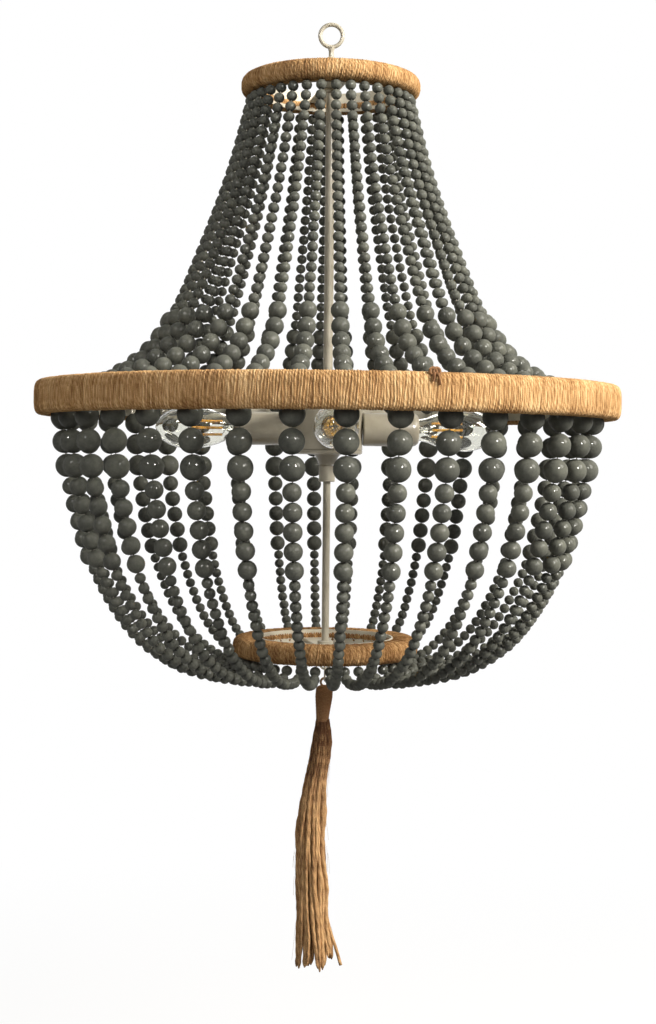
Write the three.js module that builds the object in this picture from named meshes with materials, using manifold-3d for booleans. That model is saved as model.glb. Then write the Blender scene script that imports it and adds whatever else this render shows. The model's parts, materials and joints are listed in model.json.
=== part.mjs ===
// Beaded chandelier: three jute-wrapped hoops on a central stem, strung with strands of wooden beads,
// four bulbs on a hub in the middle and a jute tassel below.
// Millimetres, +Z up, front towards -Y. The origin is the point inside the hanging loop that bears on a hook.

import * as THREE from 'three';
import { mergeVertices } from 'three/addons/utils/BufferGeometryUtils.js';
import Module from 'manifold-3d';

const wasm = await Module();
wasm.setup();

// Clearances
const seatGap = 0.3; // between pieces that rest on or fit into each other
const overrun = 2; // how far a cutter runs past what it cuts

// Heights of the three hoops below the origin
const topHoopDrop = 64.5;
const mainHoopDrop = 395;
const bottomHoopDrop = 651.5;

// Jute-wrapped rings
const topRingRadius = 95;
const topRingWidth = 23.7;
const topRingHeight = 21;
const mainRingRadius = 305;
const mainRingHeight = 35;
const mainRingWidth = 18;
const bottomRingRadius = 98;
const bottomRingWidth = 26.7;
const bottomRingHeight = 22;
const smallRingRounding = 8;
const mainRingRounding = 7;

// Painted metal bands inside the rings, and the flat bars welded across them
const smallBandThickness = 1.5;
const smallBandHeight = 20;
const smallBarWidth = 20;
const smallBarThickness = 2.5;
const mainBandThickness = 2;
const mainBandHeight = 25;
const mainBarWidth = 20;
const mainBarThickness = 3;

// Stem
const stemRadius = 5;
const lowerStemRadius = 3.9;
const stemFlangeRadius = 8;
const stemFlangeHeight = 4;
const stemThreadLength = 14;
const couplingRadius = 8.5;
const couplingLength = 17.5;

// Hanging loop
const loopRingRadius = 11.8;
const loopWireRadius = 2.2;
const loopNeckRadius = 2.6;
const loopNeckTopRadius = 4;
const loopNeckLength = 9.5;
const loopCollarRadius = 7.5;

// Hub
const hubRadius = 37;
const hubHeight = 48.5;
const hubWall = 1.8;
const hubRounding = 3;
const hubCoverThickness = 4.4;
const hubConeRadius = 13.5;
const hubConeHeight = 11;

// Lamp holders
const holderCount = 4;
const holderRadius = 17.5;
const holderLength = 58.7;
const holderWall = 1.5;
const holderRounding = 4;
const holderMouthDepth = 12;
const holderNippleRadius = 4.8;
const holderNippleLength = 7;

// Bulbs
const bulbRadius = 22.5;
const bulbGlassLength = 96;
const bulbNeckRadius = 11.5;
const bulbCapRadius = 6.9;
const bulbCapLength = 22;
const bulbContactRadius = 3;
const bulbContactLength = 2.5;

// Bead strands
const strandCount = 36;
const smallBeadDiameter = 10.6;
const mediumBeadDiameter = 18;
const largeBeadDiameter = 24;
const beadPlay = 0.25; // along the wire, between one bead and the next
const upperMediumCount = 8;
const lowerLargeCount = 3;
const lowerMediumCount = 5;
const wireRadius = 0.8;
const upperBareWire = 7; // between the last upper bead and the band
const lowerBareWire = 10; // between the band and the first lower bead

// Tassel and its eye
const eyeNutRadius = 8;
const eyeNutHeight = 13;
const eyeRingRadius = 4.8;
const eyeWireRadius = 1.2;
const linkWireRadius = 1;
const linkWidth = 8;
const linkLength = 15;
const tasselLoopRadius = 4.2;
const tasselLoopWireRadius = 1.3;
const tasselHeadRadius = 6.5;
const tasselNeckRadius = 8;
const tasselNeckLength = 30;
const tasselHeadLength = 7;
const tasselSkirtLength = 264;
const tasselSkirtRadius = 22;
const tasselLean = -15;
const bindingThickness = 1.1;

// Directions, in degrees
const strandTurn = 3.5; // of the first strand and the first bulb, from the front towards +X
const smallBarTurn = 8.5; // of the flat bars in the top and bottom rings, from the first strand

// Facets
const bandFacets = 36;
const smallFacets = 20;
const hubFacets = 16;
const roundFacets = 10;
const wireFacets = 5;
const tasselFacets = 12;
const loopFacets = 16;
const drillFacets = 6;
const weldTolerance = 0.00001;

// Courses of the bead strands. Each row is the share of the way in radius, then the share of the way down.
const upperCourseShares = [
  [0, 0],
  [0.105, 0.25],
  [0.248, 0.5],
  [0.398, 0.72],
  [0.555, 0.86],
  [0.79, 0.955],
  [1, 1],
];
const lowerCourseShares = [
  [0, 0],
  [0.038, 0.077],
  [0.054, 0.2],
  [0.118, 0.444],
  [0.222, 0.679],
  [0.396, 0.887],
  [0.52, 0.971],
  [0.665, 1.03],
  [0.833, 1.052],
  [0.94, 1.05],
  [0.992, 1.03],
  [1, 1],
];

// Necks between beads and the half-width of a run of small beads, as shares of the bead's diameter, and where
// the runs of small beads have a ring, as shares of their length
const neckShare = 0.16;
const smallRunShare = 0.47;
const upperBendShare = 0.45;
const lowerBendShares = [0.28, 0.54, 0.8];

// Swell of the bulb's glass: share of its length, then share of the full radius beyond the neck
const bulbSwellShares = [
  [0.16, 0],
  [0.36, 0.72],
  [0.58, 1],
  [0.76, 0.86],
  [0.9, 0.35],
  [0.97, -0.35],
];

// Tassel skirt: share of its length, share of its full radius, share of its lean
const skirtShares = [
  [0, 0.32, 0],
  [0.09, 0.62, 0.17],
  [0.22, 0.6, 0.55],
  [0.42, 0.82, 1],
  [0.68, 0.94, 0.8],
  [0.9, 1, 0.55],
  [1, 0.74, 0.5],
];
const clumpShare = 0.16; // how far every second corner of the skirt stands in from the full radius

const jute = finish(0xb58a55, 0.95, 0);
const tasselJute = finish(0x8e6b49, 0.97, 0);
const paintedMetal = finish(0xcfc6b0, 0.5, 0.1);
const lacqueredBead = finish(0x6b6a60, 0.25, 0);
const holderPlastic = finish(0xd8d0bb, 0.4, 0);
const clearGlass = finish(0xdfe3dc, 0.05, 0);

function finish(color, roughness, metalness) {
  return new THREE.MeshStandardMaterial({ color, roughness, metalness });
}

function radians(degrees) {
  return THREE.MathUtils.degToRad(degrees);
}

// Merges shared vertices and turns the faces outward.
function closed(geometry) {
  geometry.deleteAttribute('normal');
  geometry.deleteAttribute('uv');
  const merged = mergeVertices(geometry, weldTolerance);
  const position = merged.attributes.position;
  const kept = [];
  let volume = 0;
  const corners = [new THREE.Vector3(), new THREE.Vector3(), new THREE.Vector3()];
  for (let i = 0; i < merged.index.count; i += 3) {
    const [a, b, c] = [0, 1, 2].map((k) => merged.index.getX(i + k));
    if (a === b || b === c || c === a) continue;
    kept.push(a, b, c);
    [a, b, c].forEach((vertex, k) => corners[k].fromBufferAttribute(position, vertex));
    volume += corners[0].dot(corners[1].cross(corners[2]));
  }
  merged.setIndex(volume < 0 ? kept.reverse() : kept);
  return merged;
}

function toManifold(geometry) {
  const merged = closed(geometry);
  return new wasm.Manifold(new wasm.Mesh({
    numProp: 3,
    vertProperties: new Float32Array(merged.attributes.position.array),
    triVerts: new Uint32Array(merged.index.array),
  }));
}

function fromManifold(manifold) {
  const mesh = manifold.getMesh();
  const geometry = new THREE.BufferGeometry();
  geometry.setAttribute('position', new THREE.BufferAttribute(new Float32Array(mesh.vertProperties), 3));
  geometry.setIndex(new THREE.BufferAttribute(new Uint32Array(mesh.triVerts), 1));
  return geometry;
}

function join(...geometries) {
  const [first, ...rest] = geometries.map(toManifold);
  return fromManifold(rest.reduce((sum, next) => sum.add(next), first));
}

function cut(body, ...cutters) {
  return fromManifold(cutters.map(toManifold).reduce((left, next) => left.subtract(next), toManifold(body)));
}

// Revolves a profile of [radius, height] pairs about Z.
function revolve(profile, facets) {
  const points = profile.map(([radius, height]) => new THREE.Vector2(radius, height));
  return closed(new THREE.LatheGeometry(points, facets).rotateX(Math.PI / 2));
}

// Revolves a closed section, given as [radius, height] pairs, into a ring about Z.
function revolveRing(section, facets) {
  return revolve([...section, section[0]], facets);
}

function roundedSection(innerRadius, outerRadius, lowest, highest, rounding) {
  return [
    [innerRadius + rounding, lowest],
    [outerRadius - rounding, lowest],
    [outerRadius, lowest + rounding],
    [outerRadius, highest - rounding],
    [outerRadius - rounding, highest],
    [innerRadius + rounding, highest],
    [innerRadius, highest - rounding],
    [innerRadius, lowest + rounding],
  ];
}

function torus(ringRadius, wire, ringFacets) {
  const section = [];
  for (let k = 0; k < wireFacets; k += 1) {
    const angle = (k / wireFacets) * 2 * Math.PI;
    section.push([ringRadius + wire * Math.cos(angle), wire * Math.sin(angle)]);
  }
  return revolveRing(section, ringFacets);
}

function rod(radius, lowest, highest, facets) {
  return revolve([[0, lowest], [radius, lowest], [radius, highest], [0, highest]], facets);
}

// Joins a row of rings with the same number of points into one closed skin.
function loft(rings) {
  const sides = rings[0].length;
  const vertices = rings.flat().concat([centreOf(rings[0]), centreOf(rings.at(-1))]);
  const first = vertices.length - 2;
  const last = vertices.length - 1;
  const faces = [];
  for (let row = 0; row < rings.length - 1; row += 1) {
    for (let side = 0; side < sides; side += 1) {
      const next = (side + 1) % sides;
      const [a, b] = [row * sides + side, row * sides + next];
      faces.push(a, b, b + sides, a, b + sides, a + sides);
    }
  }
  for (let side = 0; side < sides; side += 1) {
    const next = (side + 1) % sides;
    const top = (rings.length - 1) * sides;
    faces.push(first, next, side, last, top + side, top + next);
  }
  const geometry = new THREE.BufferGeometry();
  geometry.setAttribute('position', new THREE.Float32BufferAttribute(vertices.flatMap((v) => v.toArray()), 3));
  geometry.setIndex(faces);
  return closed(geometry);
}

function centreOf(ring) {
  const sum = ring.reduce((total, point) => total.add(point), new THREE.Vector3());
  return sum.divideScalar(ring.length);
}

function named(name, geometry, material) {
  const mesh = new THREE.Mesh(geometry, material);
  mesh.name = name;
  return mesh;
}

// Painted frames: a band with flat bars welded across it, drilled for the stem
function makeFrame(bandRadius, thickness, height, barWidth, barThickness, turns, rodRadius, facets) {
  const inner = bandRadius - thickness;
  const half = height / 2;
  const band = revolveRing([[inner, -half], [bandRadius, -half], [bandRadius, half], [inner, half]], facets);
  const bars = turns.map((turn) => {
    const length = 2 * (bandRadius - thickness / 2) * Math.cos(Math.PI / facets);
    return new THREE.BoxGeometry(barWidth, length, barThickness).rotateZ(radians(turn));
  });
  const drill = rod(rodRadius + seatGap, -barThickness - overrun, barThickness + overrun, roundFacets);
  return cut(join(band, ...bars), drill);
}

function makeJuteRing(ringRadius, width, height, rounding, facets) {
  const inner = ringRadius - width;
  return revolveRing(roundedSection(inner, ringRadius, -height / 2, height / 2, rounding), facets);
}

const topBandRadius = topRingRadius - topRingWidth - seatGap;
const mainBandRadius = mainRingRadius - mainRingWidth - seatGap;
const bottomBandRadius = bottomRingRadius - bottomRingWidth - seatGap;

function makeHoops() {
  const hoops = new THREE.Group();
  hoops.rotation.z = radians(strandTurn);
  const smallFrame = (bandRadius, rodRadius) => makeFrame(
    bandRadius, smallBandThickness, smallBandHeight, smallBarWidth, smallBarThickness, [smallBarTurn],
    rodRadius, smallFacets,
  );
  const topFrame = named('top_frame', smallFrame(topBandRadius, stemRadius), paintedMetal);
  topFrame.position.z = -topHoopDrop;
  const bottomFrame = named('bottom_frame', smallFrame(bottomBandRadius, lowerStemRadius), paintedMetal);
  bottomFrame.position.z = -bottomHoopDrop;

  const mainBarTurn = 180 / holderCount;
  const mainFrame = named('main_frame', makeFrame(
    mainBandRadius, mainBandThickness, mainBandHeight, mainBarWidth, mainBarThickness,
    [mainBarTurn, mainBarTurn + 90], stemRadius, bandFacets,
  ), paintedMetal);
  mainFrame.position.z = -mainHoopDrop;

  const topRing = named('top_jute_ring', makeJuteRing(
    topRingRadius, topRingWidth, topRingHeight, smallRingRounding, smallFacets,
  ), jute);
  topRing.position.z = -topHoopDrop;
  const mainRing = named('main_jute_ring', makeJuteRing(
    mainRingRadius, mainRingWidth, mainRingHeight, mainRingRounding, bandFacets,
  ), jute);
  mainRing.position.z = -mainHoopDrop;
  const bottomRing = named('bottom_jute_ring', makeJuteRing(
    bottomRingRadius, bottomRingWidth, bottomRingHeight, smallRingRounding, smallFacets,
  ), jute);
  bottomRing.position.z = -bottomHoopDrop;

  hoops.add(topFrame, topRing, mainFrame, mainRing, bottomFrame, bottomRing);
  return hoops;
}

// Heights along the stem, worked out from the hoops and the pieces stacked on it
const topBarUpperFace = -topHoopDrop + smallBarThickness / 2;
const topBarLowerFace = -topHoopDrop - smallBarThickness / 2;
const hubTop = -mainHoopDrop - mainBarThickness / 2 - seatGap;
const hubCoverTop = hubTop - hubHeight - seatGap;
const hubCoverBottom = hubCoverTop - hubCoverThickness;
const armHeight = (hubTop + hubCoverBottom) / 2;
const couplingTop = hubCoverBottom - hubConeHeight - seatGap;
const couplingBottom = couplingTop - couplingLength;
const couplingMiddle = (couplingTop + couplingBottom) / 2;
const bottomBarUpperFace = -bottomHoopDrop + smallBarThickness / 2;
const bottomBarLowerFace = -bottomHoopDrop - smallBarThickness / 2;

// Hanging loop: a socket screwed on the stem's top end, with a neck and a ring
function makeLoop() {
  const ringCentre = -(loopRingRadius - loopWireRadius);
  const neckTop = ringCentre - loopRingRadius;
  const collarTop = neckTop - loopWireRadius - loopNeckLength;
  const collarBottom = topBarUpperFace + seatGap;
  const socketRadius = stemRadius + seatGap;
  const socketTop = collarBottom + stemThreadLength + seatGap;
  const socket = revolve([
    [0, socketTop],
    [socketRadius, socketTop],
    [socketRadius, collarBottom],
    [loopCollarRadius, collarBottom],
    [loopCollarRadius, collarTop - loopNeckLength / 4],
    [loopNeckRadius, collarTop],
    [loopNeckTopRadius, neckTop],
    [0, neckTop],
  ], roundFacets);
  const ring = torus(loopRingRadius, loopWireRadius, loopFacets).rotateX(Math.PI / 2);
  return named('hanging_loop', join(socket, ring.translate(0, 0, ringCentre)), paintedMetal);
}

// Stem: a thick upper and a thinner lower rod, each with a turned flange next to the bar that it clamps
function makeStem() {
  const upperTop = topBarUpperFace + seatGap + stemThreadLength;
  const upperFlangeTop = topBarLowerFace - seatGap;
  const upperBottom = couplingMiddle + seatGap;
  const upper = revolve([
    [0, upperBottom],
    [stemRadius, upperBottom],
    [stemRadius, upperFlangeTop - stemFlangeHeight],
    [stemFlangeRadius, upperFlangeTop - stemFlangeHeight],
    [stemFlangeRadius, upperFlangeTop],
    [stemRadius, upperFlangeTop],
    [stemRadius, upperTop],
    [0, upperTop],
  ], roundFacets);
  const lowerTop = couplingMiddle - seatGap;
  const lowerFlangeBottom = bottomBarUpperFace + seatGap;
  const lowerBottom = bottomBarLowerFace - seatGap - eyeNutHeight / 2;
  const lower = revolve([
    [0, lowerBottom],
    [lowerStemRadius, lowerBottom],
    [lowerStemRadius, lowerFlangeBottom],
    [stemFlangeRadius, lowerFlangeBottom],
    [stemFlangeRadius, lowerFlangeBottom + stemFlangeHeight],
    [lowerStemRadius, lowerFlangeBottom + stemFlangeHeight],
    [lowerStemRadius, lowerTop],
    [0, lowerTop],
  ], roundFacets);
  const upperBore = stemRadius + seatGap;
  const lowerBore = lowerStemRadius + seatGap;
  const coupling = revolveRing([
    [lowerBore, couplingBottom],
    [couplingRadius, couplingBottom],
    [couplingRadius, couplingTop],
    [upperBore, couplingTop],
    [upperBore, couplingMiddle],
    [lowerBore, couplingMiddle],
  ], roundFacets);
  const stem = new THREE.Group();
  stem.add(
    named('stem_upper', upper, paintedMetal),
    named('stem_lower', lower, paintedMetal),
    named('stem_coupling', coupling, paintedMetal),
  );
  return stem;
}

// Hub: a can open below, with a hole in its side for each lamp holder, and a cover with a coned boss
function makeHub() {
  const inner = hubRadius - hubWall;
  const boreRadius = stemRadius + seatGap;
  const hubBottom = hubTop - hubHeight;
  const holderHoleRadius = (holderNippleRadius + seatGap) / Math.cos(Math.PI / drillFacets);
  const can = revolveRing([
    [boreRadius, hubTop - hubWall],
    [inner, hubTop - hubWall],
    [inner, hubBottom],
    [hubRadius, hubBottom],
    [hubRadius, hubTop - hubRounding],
    [hubRadius - hubRounding, hubTop],
    [boreRadius, hubTop],
  ], hubFacets);
  const holes = holderTurns().map((turn) => {
    const drill = rod(holderHoleRadius, inner - overrun, hubRadius + overrun, drillFacets);
    return alongArm(drill).rotateZ(radians(turn)).translate(0, 0, armHeight);
  });
  const cover = revolveRing([
    [boreRadius, hubCoverTop],
    [boreRadius, hubCoverBottom - hubConeHeight],
    [couplingRadius, hubCoverBottom - hubConeHeight],
    [hubConeRadius, hubCoverBottom],
    [hubRadius - hubCoverThickness / 2, hubCoverBottom],
    [hubRadius, hubCoverBottom + hubCoverThickness / 2],
    [hubRadius, hubCoverTop],
  ], hubFacets);
  const hub = new THREE.Group();
  hub.add(named('hub_body', cut(can, ...holes), paintedMetal), named('hub_cover', cover, paintedMetal));
  return hub;
}

function holderTurns() {
  return Array.from({ length: holderCount }, (_, k) => strandTurn + (k * 360) / holderCount);
}

// Points a piece made along +Z out along an arm of the hub.
function alongArm(geometry) {
  return geometry.rotateX(Math.PI / 2);
}

// Lamp holder: a sleeve with a nipple through the hub's wall and an insert bored for the bulb's cap
function makeHolder() {
  const back = hubRadius + seatGap;
  const mouth = back + holderLength;
  const boreRadius = bulbCapRadius + seatGap;
  const insertFace = mouth - holderMouthDepth;
  const boreEnd = insertFace - bulbCapLength - bulbContactLength;
  return alongArm(revolve([
    [0, back + seatGap - holderNippleLength],
    [holderNippleRadius, back + seatGap - holderNippleLength],
    [holderNippleRadius, back],
    [holderRadius, back],
    [holderRadius, mouth - holderRounding],
    [holderRadius - holderWall, mouth],
    [holderRadius - 2 * holderWall, mouth - holderRounding],
    [holderRadius - 2 * holderWall, insertFace],
    [boreRadius, insertFace],
    [boreRadius, boreEnd],
    [0, boreEnd],
  ], roundFacets));
}

// Bulb: contact, screw cap and glass, seated in the holder's insert
function makeBulb() {
  const insertFace = hubRadius + seatGap + holderLength - holderMouthDepth;
  const glassStart = insertFace + seatGap;
  const capEnd = glassStart - bulbCapLength;
  const swell = bulbRadius - bulbNeckRadius;
  const glass = bulbSwellShares.map(([lengthShare, swellShare]) => [
    bulbNeckRadius + swell * swellShare,
    glassStart + bulbGlassLength * lengthShare,
  ]);
  return alongArm(revolve([
    [0, capEnd - bulbContactLength + seatGap],
    [bulbContactRadius, capEnd - bulbContactLength + seatGap],
    [bulbCapRadius, capEnd],
    [bulbCapRadius, glassStart],
    [bulbNeckRadius, glassStart],
    ...glass,
    [0, glassStart + bulbGlassLength],
  ], roundFacets));
}

function makeLights() {
  const lights = new THREE.Group();
  holderTurns().forEach((turn, k) => {
    const arm = new THREE.Group();
    arm.position.z = armHeight;
    arm.rotation.z = radians(turn);
    arm.add(named(`lamp_holder_${k + 1}`, makeHolder(), holderPlastic));
    arm.add(named(`bulb_${k + 1}`, makeBulb(), clearGlass));
    lights.add(arm);
  });
  return lights;
}

// One bead strand, drawn in the X-Z plane with X pointing outward: from the top ring to the main band,
// where its wire is hitched, and on down to the bottom ring
function courseCurve(shares, start, end) {
  const points = shares.map(([outShare, downShare]) => new THREE.Vector3(
    start.x + (end.x - start.x) * outShare,
    0,
    start.z + (end.z - start.z) * downShare,
  ));
  return new THREE.CatmullRomCurve3(points, false, 'centripetal');
}

function diamond(curve, share, radius) {
  const centre = curve.getPointAt(share);
  const along = curve.getTangentAt(share);
  return diamondAt(centre, new THREE.Vector3(along.z, 0, -along.x), radius);
}

function diamondAt(centre, normal, radius) {
  const across = new THREE.Vector3(0, radius, 0);
  const out = normal.clone().multiplyScalar(radius);
  return [
    centre.clone().add(out),
    centre.clone().add(across),
    centre.clone().sub(out),
    centre.clone().sub(across),
  ];
}

// Stations of a run of beads: each bead has its widest ring and then a neck.
function beadStations(start, count, diameter) {
  const pitch = diameter + beadPlay;
  const stations = [];
  for (let k = 0; k < count; k += 1) {
    stations.push([start + (k + 0.5) * pitch, diameter / 2]);
    stations.push([start + (k + 1) * pitch, diameter * neckShare]);
  }
  return stations;
}

function makeStrand() {
  const topEnd = new THREE.Vector3(
    topRingRadius - topRingWidth / 2, 0, -topHoopDrop - topRingHeight / 2 - seatGap,
  );
  const hitch = new THREE.Vector3(mainBandRadius - mainBandThickness - seatGap - wireRadius, 0, -mainHoopDrop);
  const bottomEnd = new THREE.Vector3(
    bottomRingRadius - bottomRingWidth / 2, 0, -bottomHoopDrop - bottomRingHeight / 2 - seatGap,
  );
  const upper = courseCurve(upperCourseShares, topEnd, hitch);
  const lower = courseCurve(lowerCourseShares, hitch, bottomEnd);
  const upperLength = upper.getLength();
  const lowerLength = lower.getLength();
  const smallRadius = smallBeadDiameter * smallRunShare;

  const mediumStart = upperLength - upperBareWire - upperMediumCount * (mediumBeadDiameter + beadPlay);
  const upperStations = [
    [0, wireRadius],
    [smallBeadDiameter / 2, smallRadius],
    [mediumStart * upperBendShare, smallRadius],
    [mediumStart, smallRadius],
    ...beadStations(mediumStart, upperMediumCount, mediumBeadDiameter).slice(0, -1),
  ];
  const largeStart = lowerBareWire;
  const lowerMediumStart = largeStart + lowerLargeCount * (largeBeadDiameter + beadPlay);
  const smallStart = lowerMediumStart + lowerMediumCount * (mediumBeadDiameter + beadPlay);
  const smallRun = lowerLength - smallStart;
  const lowerStations = [
    [largeStart, wireRadius],
    ...beadStations(largeStart, lowerLargeCount, largeBeadDiameter),
    ...beadStations(lowerMediumStart, lowerMediumCount, mediumBeadDiameter),
    ...lowerBendShares.map((share) => [smallStart + smallRun * share, smallRadius]),
    [lowerLength - smallBeadDiameter / 2, smallRadius],
    [lowerLength, wireRadius],
  ];
  const hitchRing = diamondAt(hitch, new THREE.Vector3(1, 0, 0), wireRadius);
  return loft([
    ...upperStations.map(([distance, radius]) => diamond(upper, distance / upperLength, radius)),
    hitchRing,
    ...lowerStations.map(([distance, radius]) => diamond(lower, distance / lowerLength, radius)),
  ]);
}

function makeStrands() {
  const strands = new THREE.Group();
  const geometry = makeStrand();
  for (let k = 0; k < strandCount; k += 1) {
    const strand = named(`bead_strand_${String(k + 1).padStart(2, '0')}`, geometry, lacqueredBead);
    strand.rotation.z = radians(strandTurn + (k * 360) / strandCount) - Math.PI / 2;
    strands.add(strand);
  }
  return strands;
}

// Tassel eye: a cap nut on the stem's bottom end with a ring below it
const eyeNutTop = bottomBarLowerFace - seatGap;
const eyeRingCentre = eyeNutTop - eyeNutHeight - eyeRingRadius;
const eyeBearing = eyeRingCentre - eyeRingRadius;
const linkTop = eyeBearing + eyeWireRadius + seatGap + linkWireRadius;
const linkBearing = linkTop - linkLength;
const tasselLoopTop = linkBearing + linkWireRadius + seatGap + tasselLoopWireRadius;
const tasselTop = tasselLoopTop - 2 * tasselLoopRadius;

function makeTasselEye() {
  const boreRadius = lowerStemRadius + seatGap;
  const boreEnd = eyeNutTop - eyeNutHeight / 2 - seatGap;
  const nut = revolve([
    [0, boreEnd],
    [boreRadius, boreEnd],
    [boreRadius, eyeNutTop],
    [eyeNutRadius, eyeNutTop],
    [eyeNutRadius, eyeNutTop - eyeNutHeight / 2],
    [eyeNutRadius / 2, eyeNutTop - eyeNutHeight],
    [0, eyeNutTop - eyeNutHeight],
  ], roundFacets);
  const ring = torus(eyeRingRadius, eyeWireRadius, roundFacets).rotateX(Math.PI / 2);
  return named('tassel_eye', join(nut, ring.translate(0, 0, eyeRingCentre)), paintedMetal);
}

// Link: a long ring in the Y-Z plane that joins the eye to the tassel's loop
function makeTasselLink() {
  const endRadius = linkWidth / 2;
  const straight = linkLength - 2 * endRadius;
  const steps = roundFacets;
  const rings = [];
  for (let k = 0; k < steps; k += 1) {
    const angle = ((k + 0.5) / steps) * 2 * Math.PI;
    const side = Math.sign(Math.sin(angle));
    const centre = new THREE.Vector3(
      0,
      endRadius * Math.cos(angle),
      linkTop - linkLength / 2 + endRadius * Math.sin(angle) + (side * straight) / 2,
    );
    const outward = new THREE.Vector3(0, Math.cos(angle), Math.sin(angle));
    rings.push(diamondLink(centre, outward));
  }
  return named('tassel_link', closedLoop(rings), paintedMetal);
}

function diamondLink(centre, outward) {
  const reach = outward.clone().multiplyScalar(linkWireRadius);
  const across = new THREE.Vector3(linkWireRadius, 0, 0);
  return [
    centre.clone().add(reach),
    centre.clone().add(across),
    centre.clone().sub(reach),
    centre.clone().sub(across),
  ];
}

function closedLoop(rings) {
  const sides = rings[0].length;
  const faces = [];
  rings.forEach((_, row) => {
    const nextRow = ((row + 1) % rings.length) * sides;
    for (let side = 0; side < sides; side += 1) {
      const next = (side + 1) % sides;
      const [a, b] = [row * sides + side, row * sides + next];
      faces.push(a, b, nextRow + next, a, nextRow + next, nextRow + side);
    }
  });
  const geometry = new THREE.BufferGeometry();
  const values = rings.flat().flatMap((vertex) => vertex.toArray());
  geometry.setAttribute('position', new THREE.Float32BufferAttribute(values, 3));
  geometry.setIndex(faces);
  return closed(geometry);
}

function roundRing(centreX, height, radius, facets, every) {
  return Array.from({ length: facets }, (_, k) => {
    const angle = (k / facets) * 2 * Math.PI;
    const reach = radius * (k % 2 === 1 ? 1 - every : 1);
    return new THREE.Vector3(centreX + reach * Math.cos(angle), reach * Math.sin(angle), height);
  });
}

// Tassel: a loop, a knotted head, a bound neck and a skirt of yarn that hangs in clumps, leaning to one side
function makeTassel() {
  const facets = tasselFacets;
  const neckTop = tasselTop - tasselHeadLength;
  const skirtTop = neckTop - tasselNeckLength;
  const neckBottomRadius = tasselSkirtRadius * skirtShares[0][1];
  const yarn = loft([
    roundRing(0, tasselTop + tasselLoopWireRadius, tasselHeadRadius / 2, facets, 0),
    roundRing(0, tasselTop - tasselHeadLength / 2, tasselHeadRadius, facets, 0),
    roundRing(0, neckTop, tasselNeckRadius, facets, 0),
    ...skirtShares.map(([down, wide, lean]) => roundRing(
      tasselLean * lean, skirtTop - tasselSkirtLength * down, tasselSkirtRadius * wide, facets,
      clumpShare * down,
    )),
  ]);
  const loop = torus(tasselLoopRadius, tasselLoopWireRadius, roundFacets).rotateX(Math.PI / 2);
  loop.translate(0, 0, tasselTop + tasselLoopRadius);

  const bindTop = skirtTop + tasselNeckLength / 2;
  const bindShare = (skirtTop - bindTop) / (skirtTop - neckTop);
  const bindTopRadius = neckBottomRadius + (tasselNeckRadius - neckBottomRadius) * bindShare;
  const binding = revolveRing([
    [neckBottomRadius + seatGap, skirtTop + seatGap],
    [neckBottomRadius + bindingThickness, skirtTop + seatGap],
    [bindTopRadius + bindingThickness, bindTop],
    [bindTopRadius + seatGap, bindTop],
  ], facets);
  const tassel = new THREE.Group();
  tassel.add(named('tassel', join(yarn, loop), tasselJute), named('tassel_binding', binding, jute));
  return tassel;
}

const chandelier = new THREE.Group();
chandelier.add(
  makeLoop(),
  makeStem(),
  makeHoops(),
  makeHub(),
  makeLights(),
  makeStrands(),
  makeTasselEye(),
  makeTasselLink(),
  makeTassel(),
);

export default chandelier;
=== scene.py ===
"""Visual model of a beaded chandelier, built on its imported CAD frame.

Three jute-wound hoops hang on a central stem. Strands of graded beads run from the top hoop to the main hoop and
on to the bottom hoop, four clear bulbs stand on a hub in the middle, and a jute tassel hangs below.

Everything is in metres in the frame's own axes: +Z up, -Y the front, origin at the bearing point of the hanging
loop. Each rigid CAD node is replaced by a smooth or finer piece of the same size that rides on the same body.
"""

import json
import logging
import math
import random
from dataclasses import dataclass
from enum import Enum
from typing import Callable, Optional, Sequence, Union

import bmesh
import bpy
from mathutils import Matrix, Vector

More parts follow.
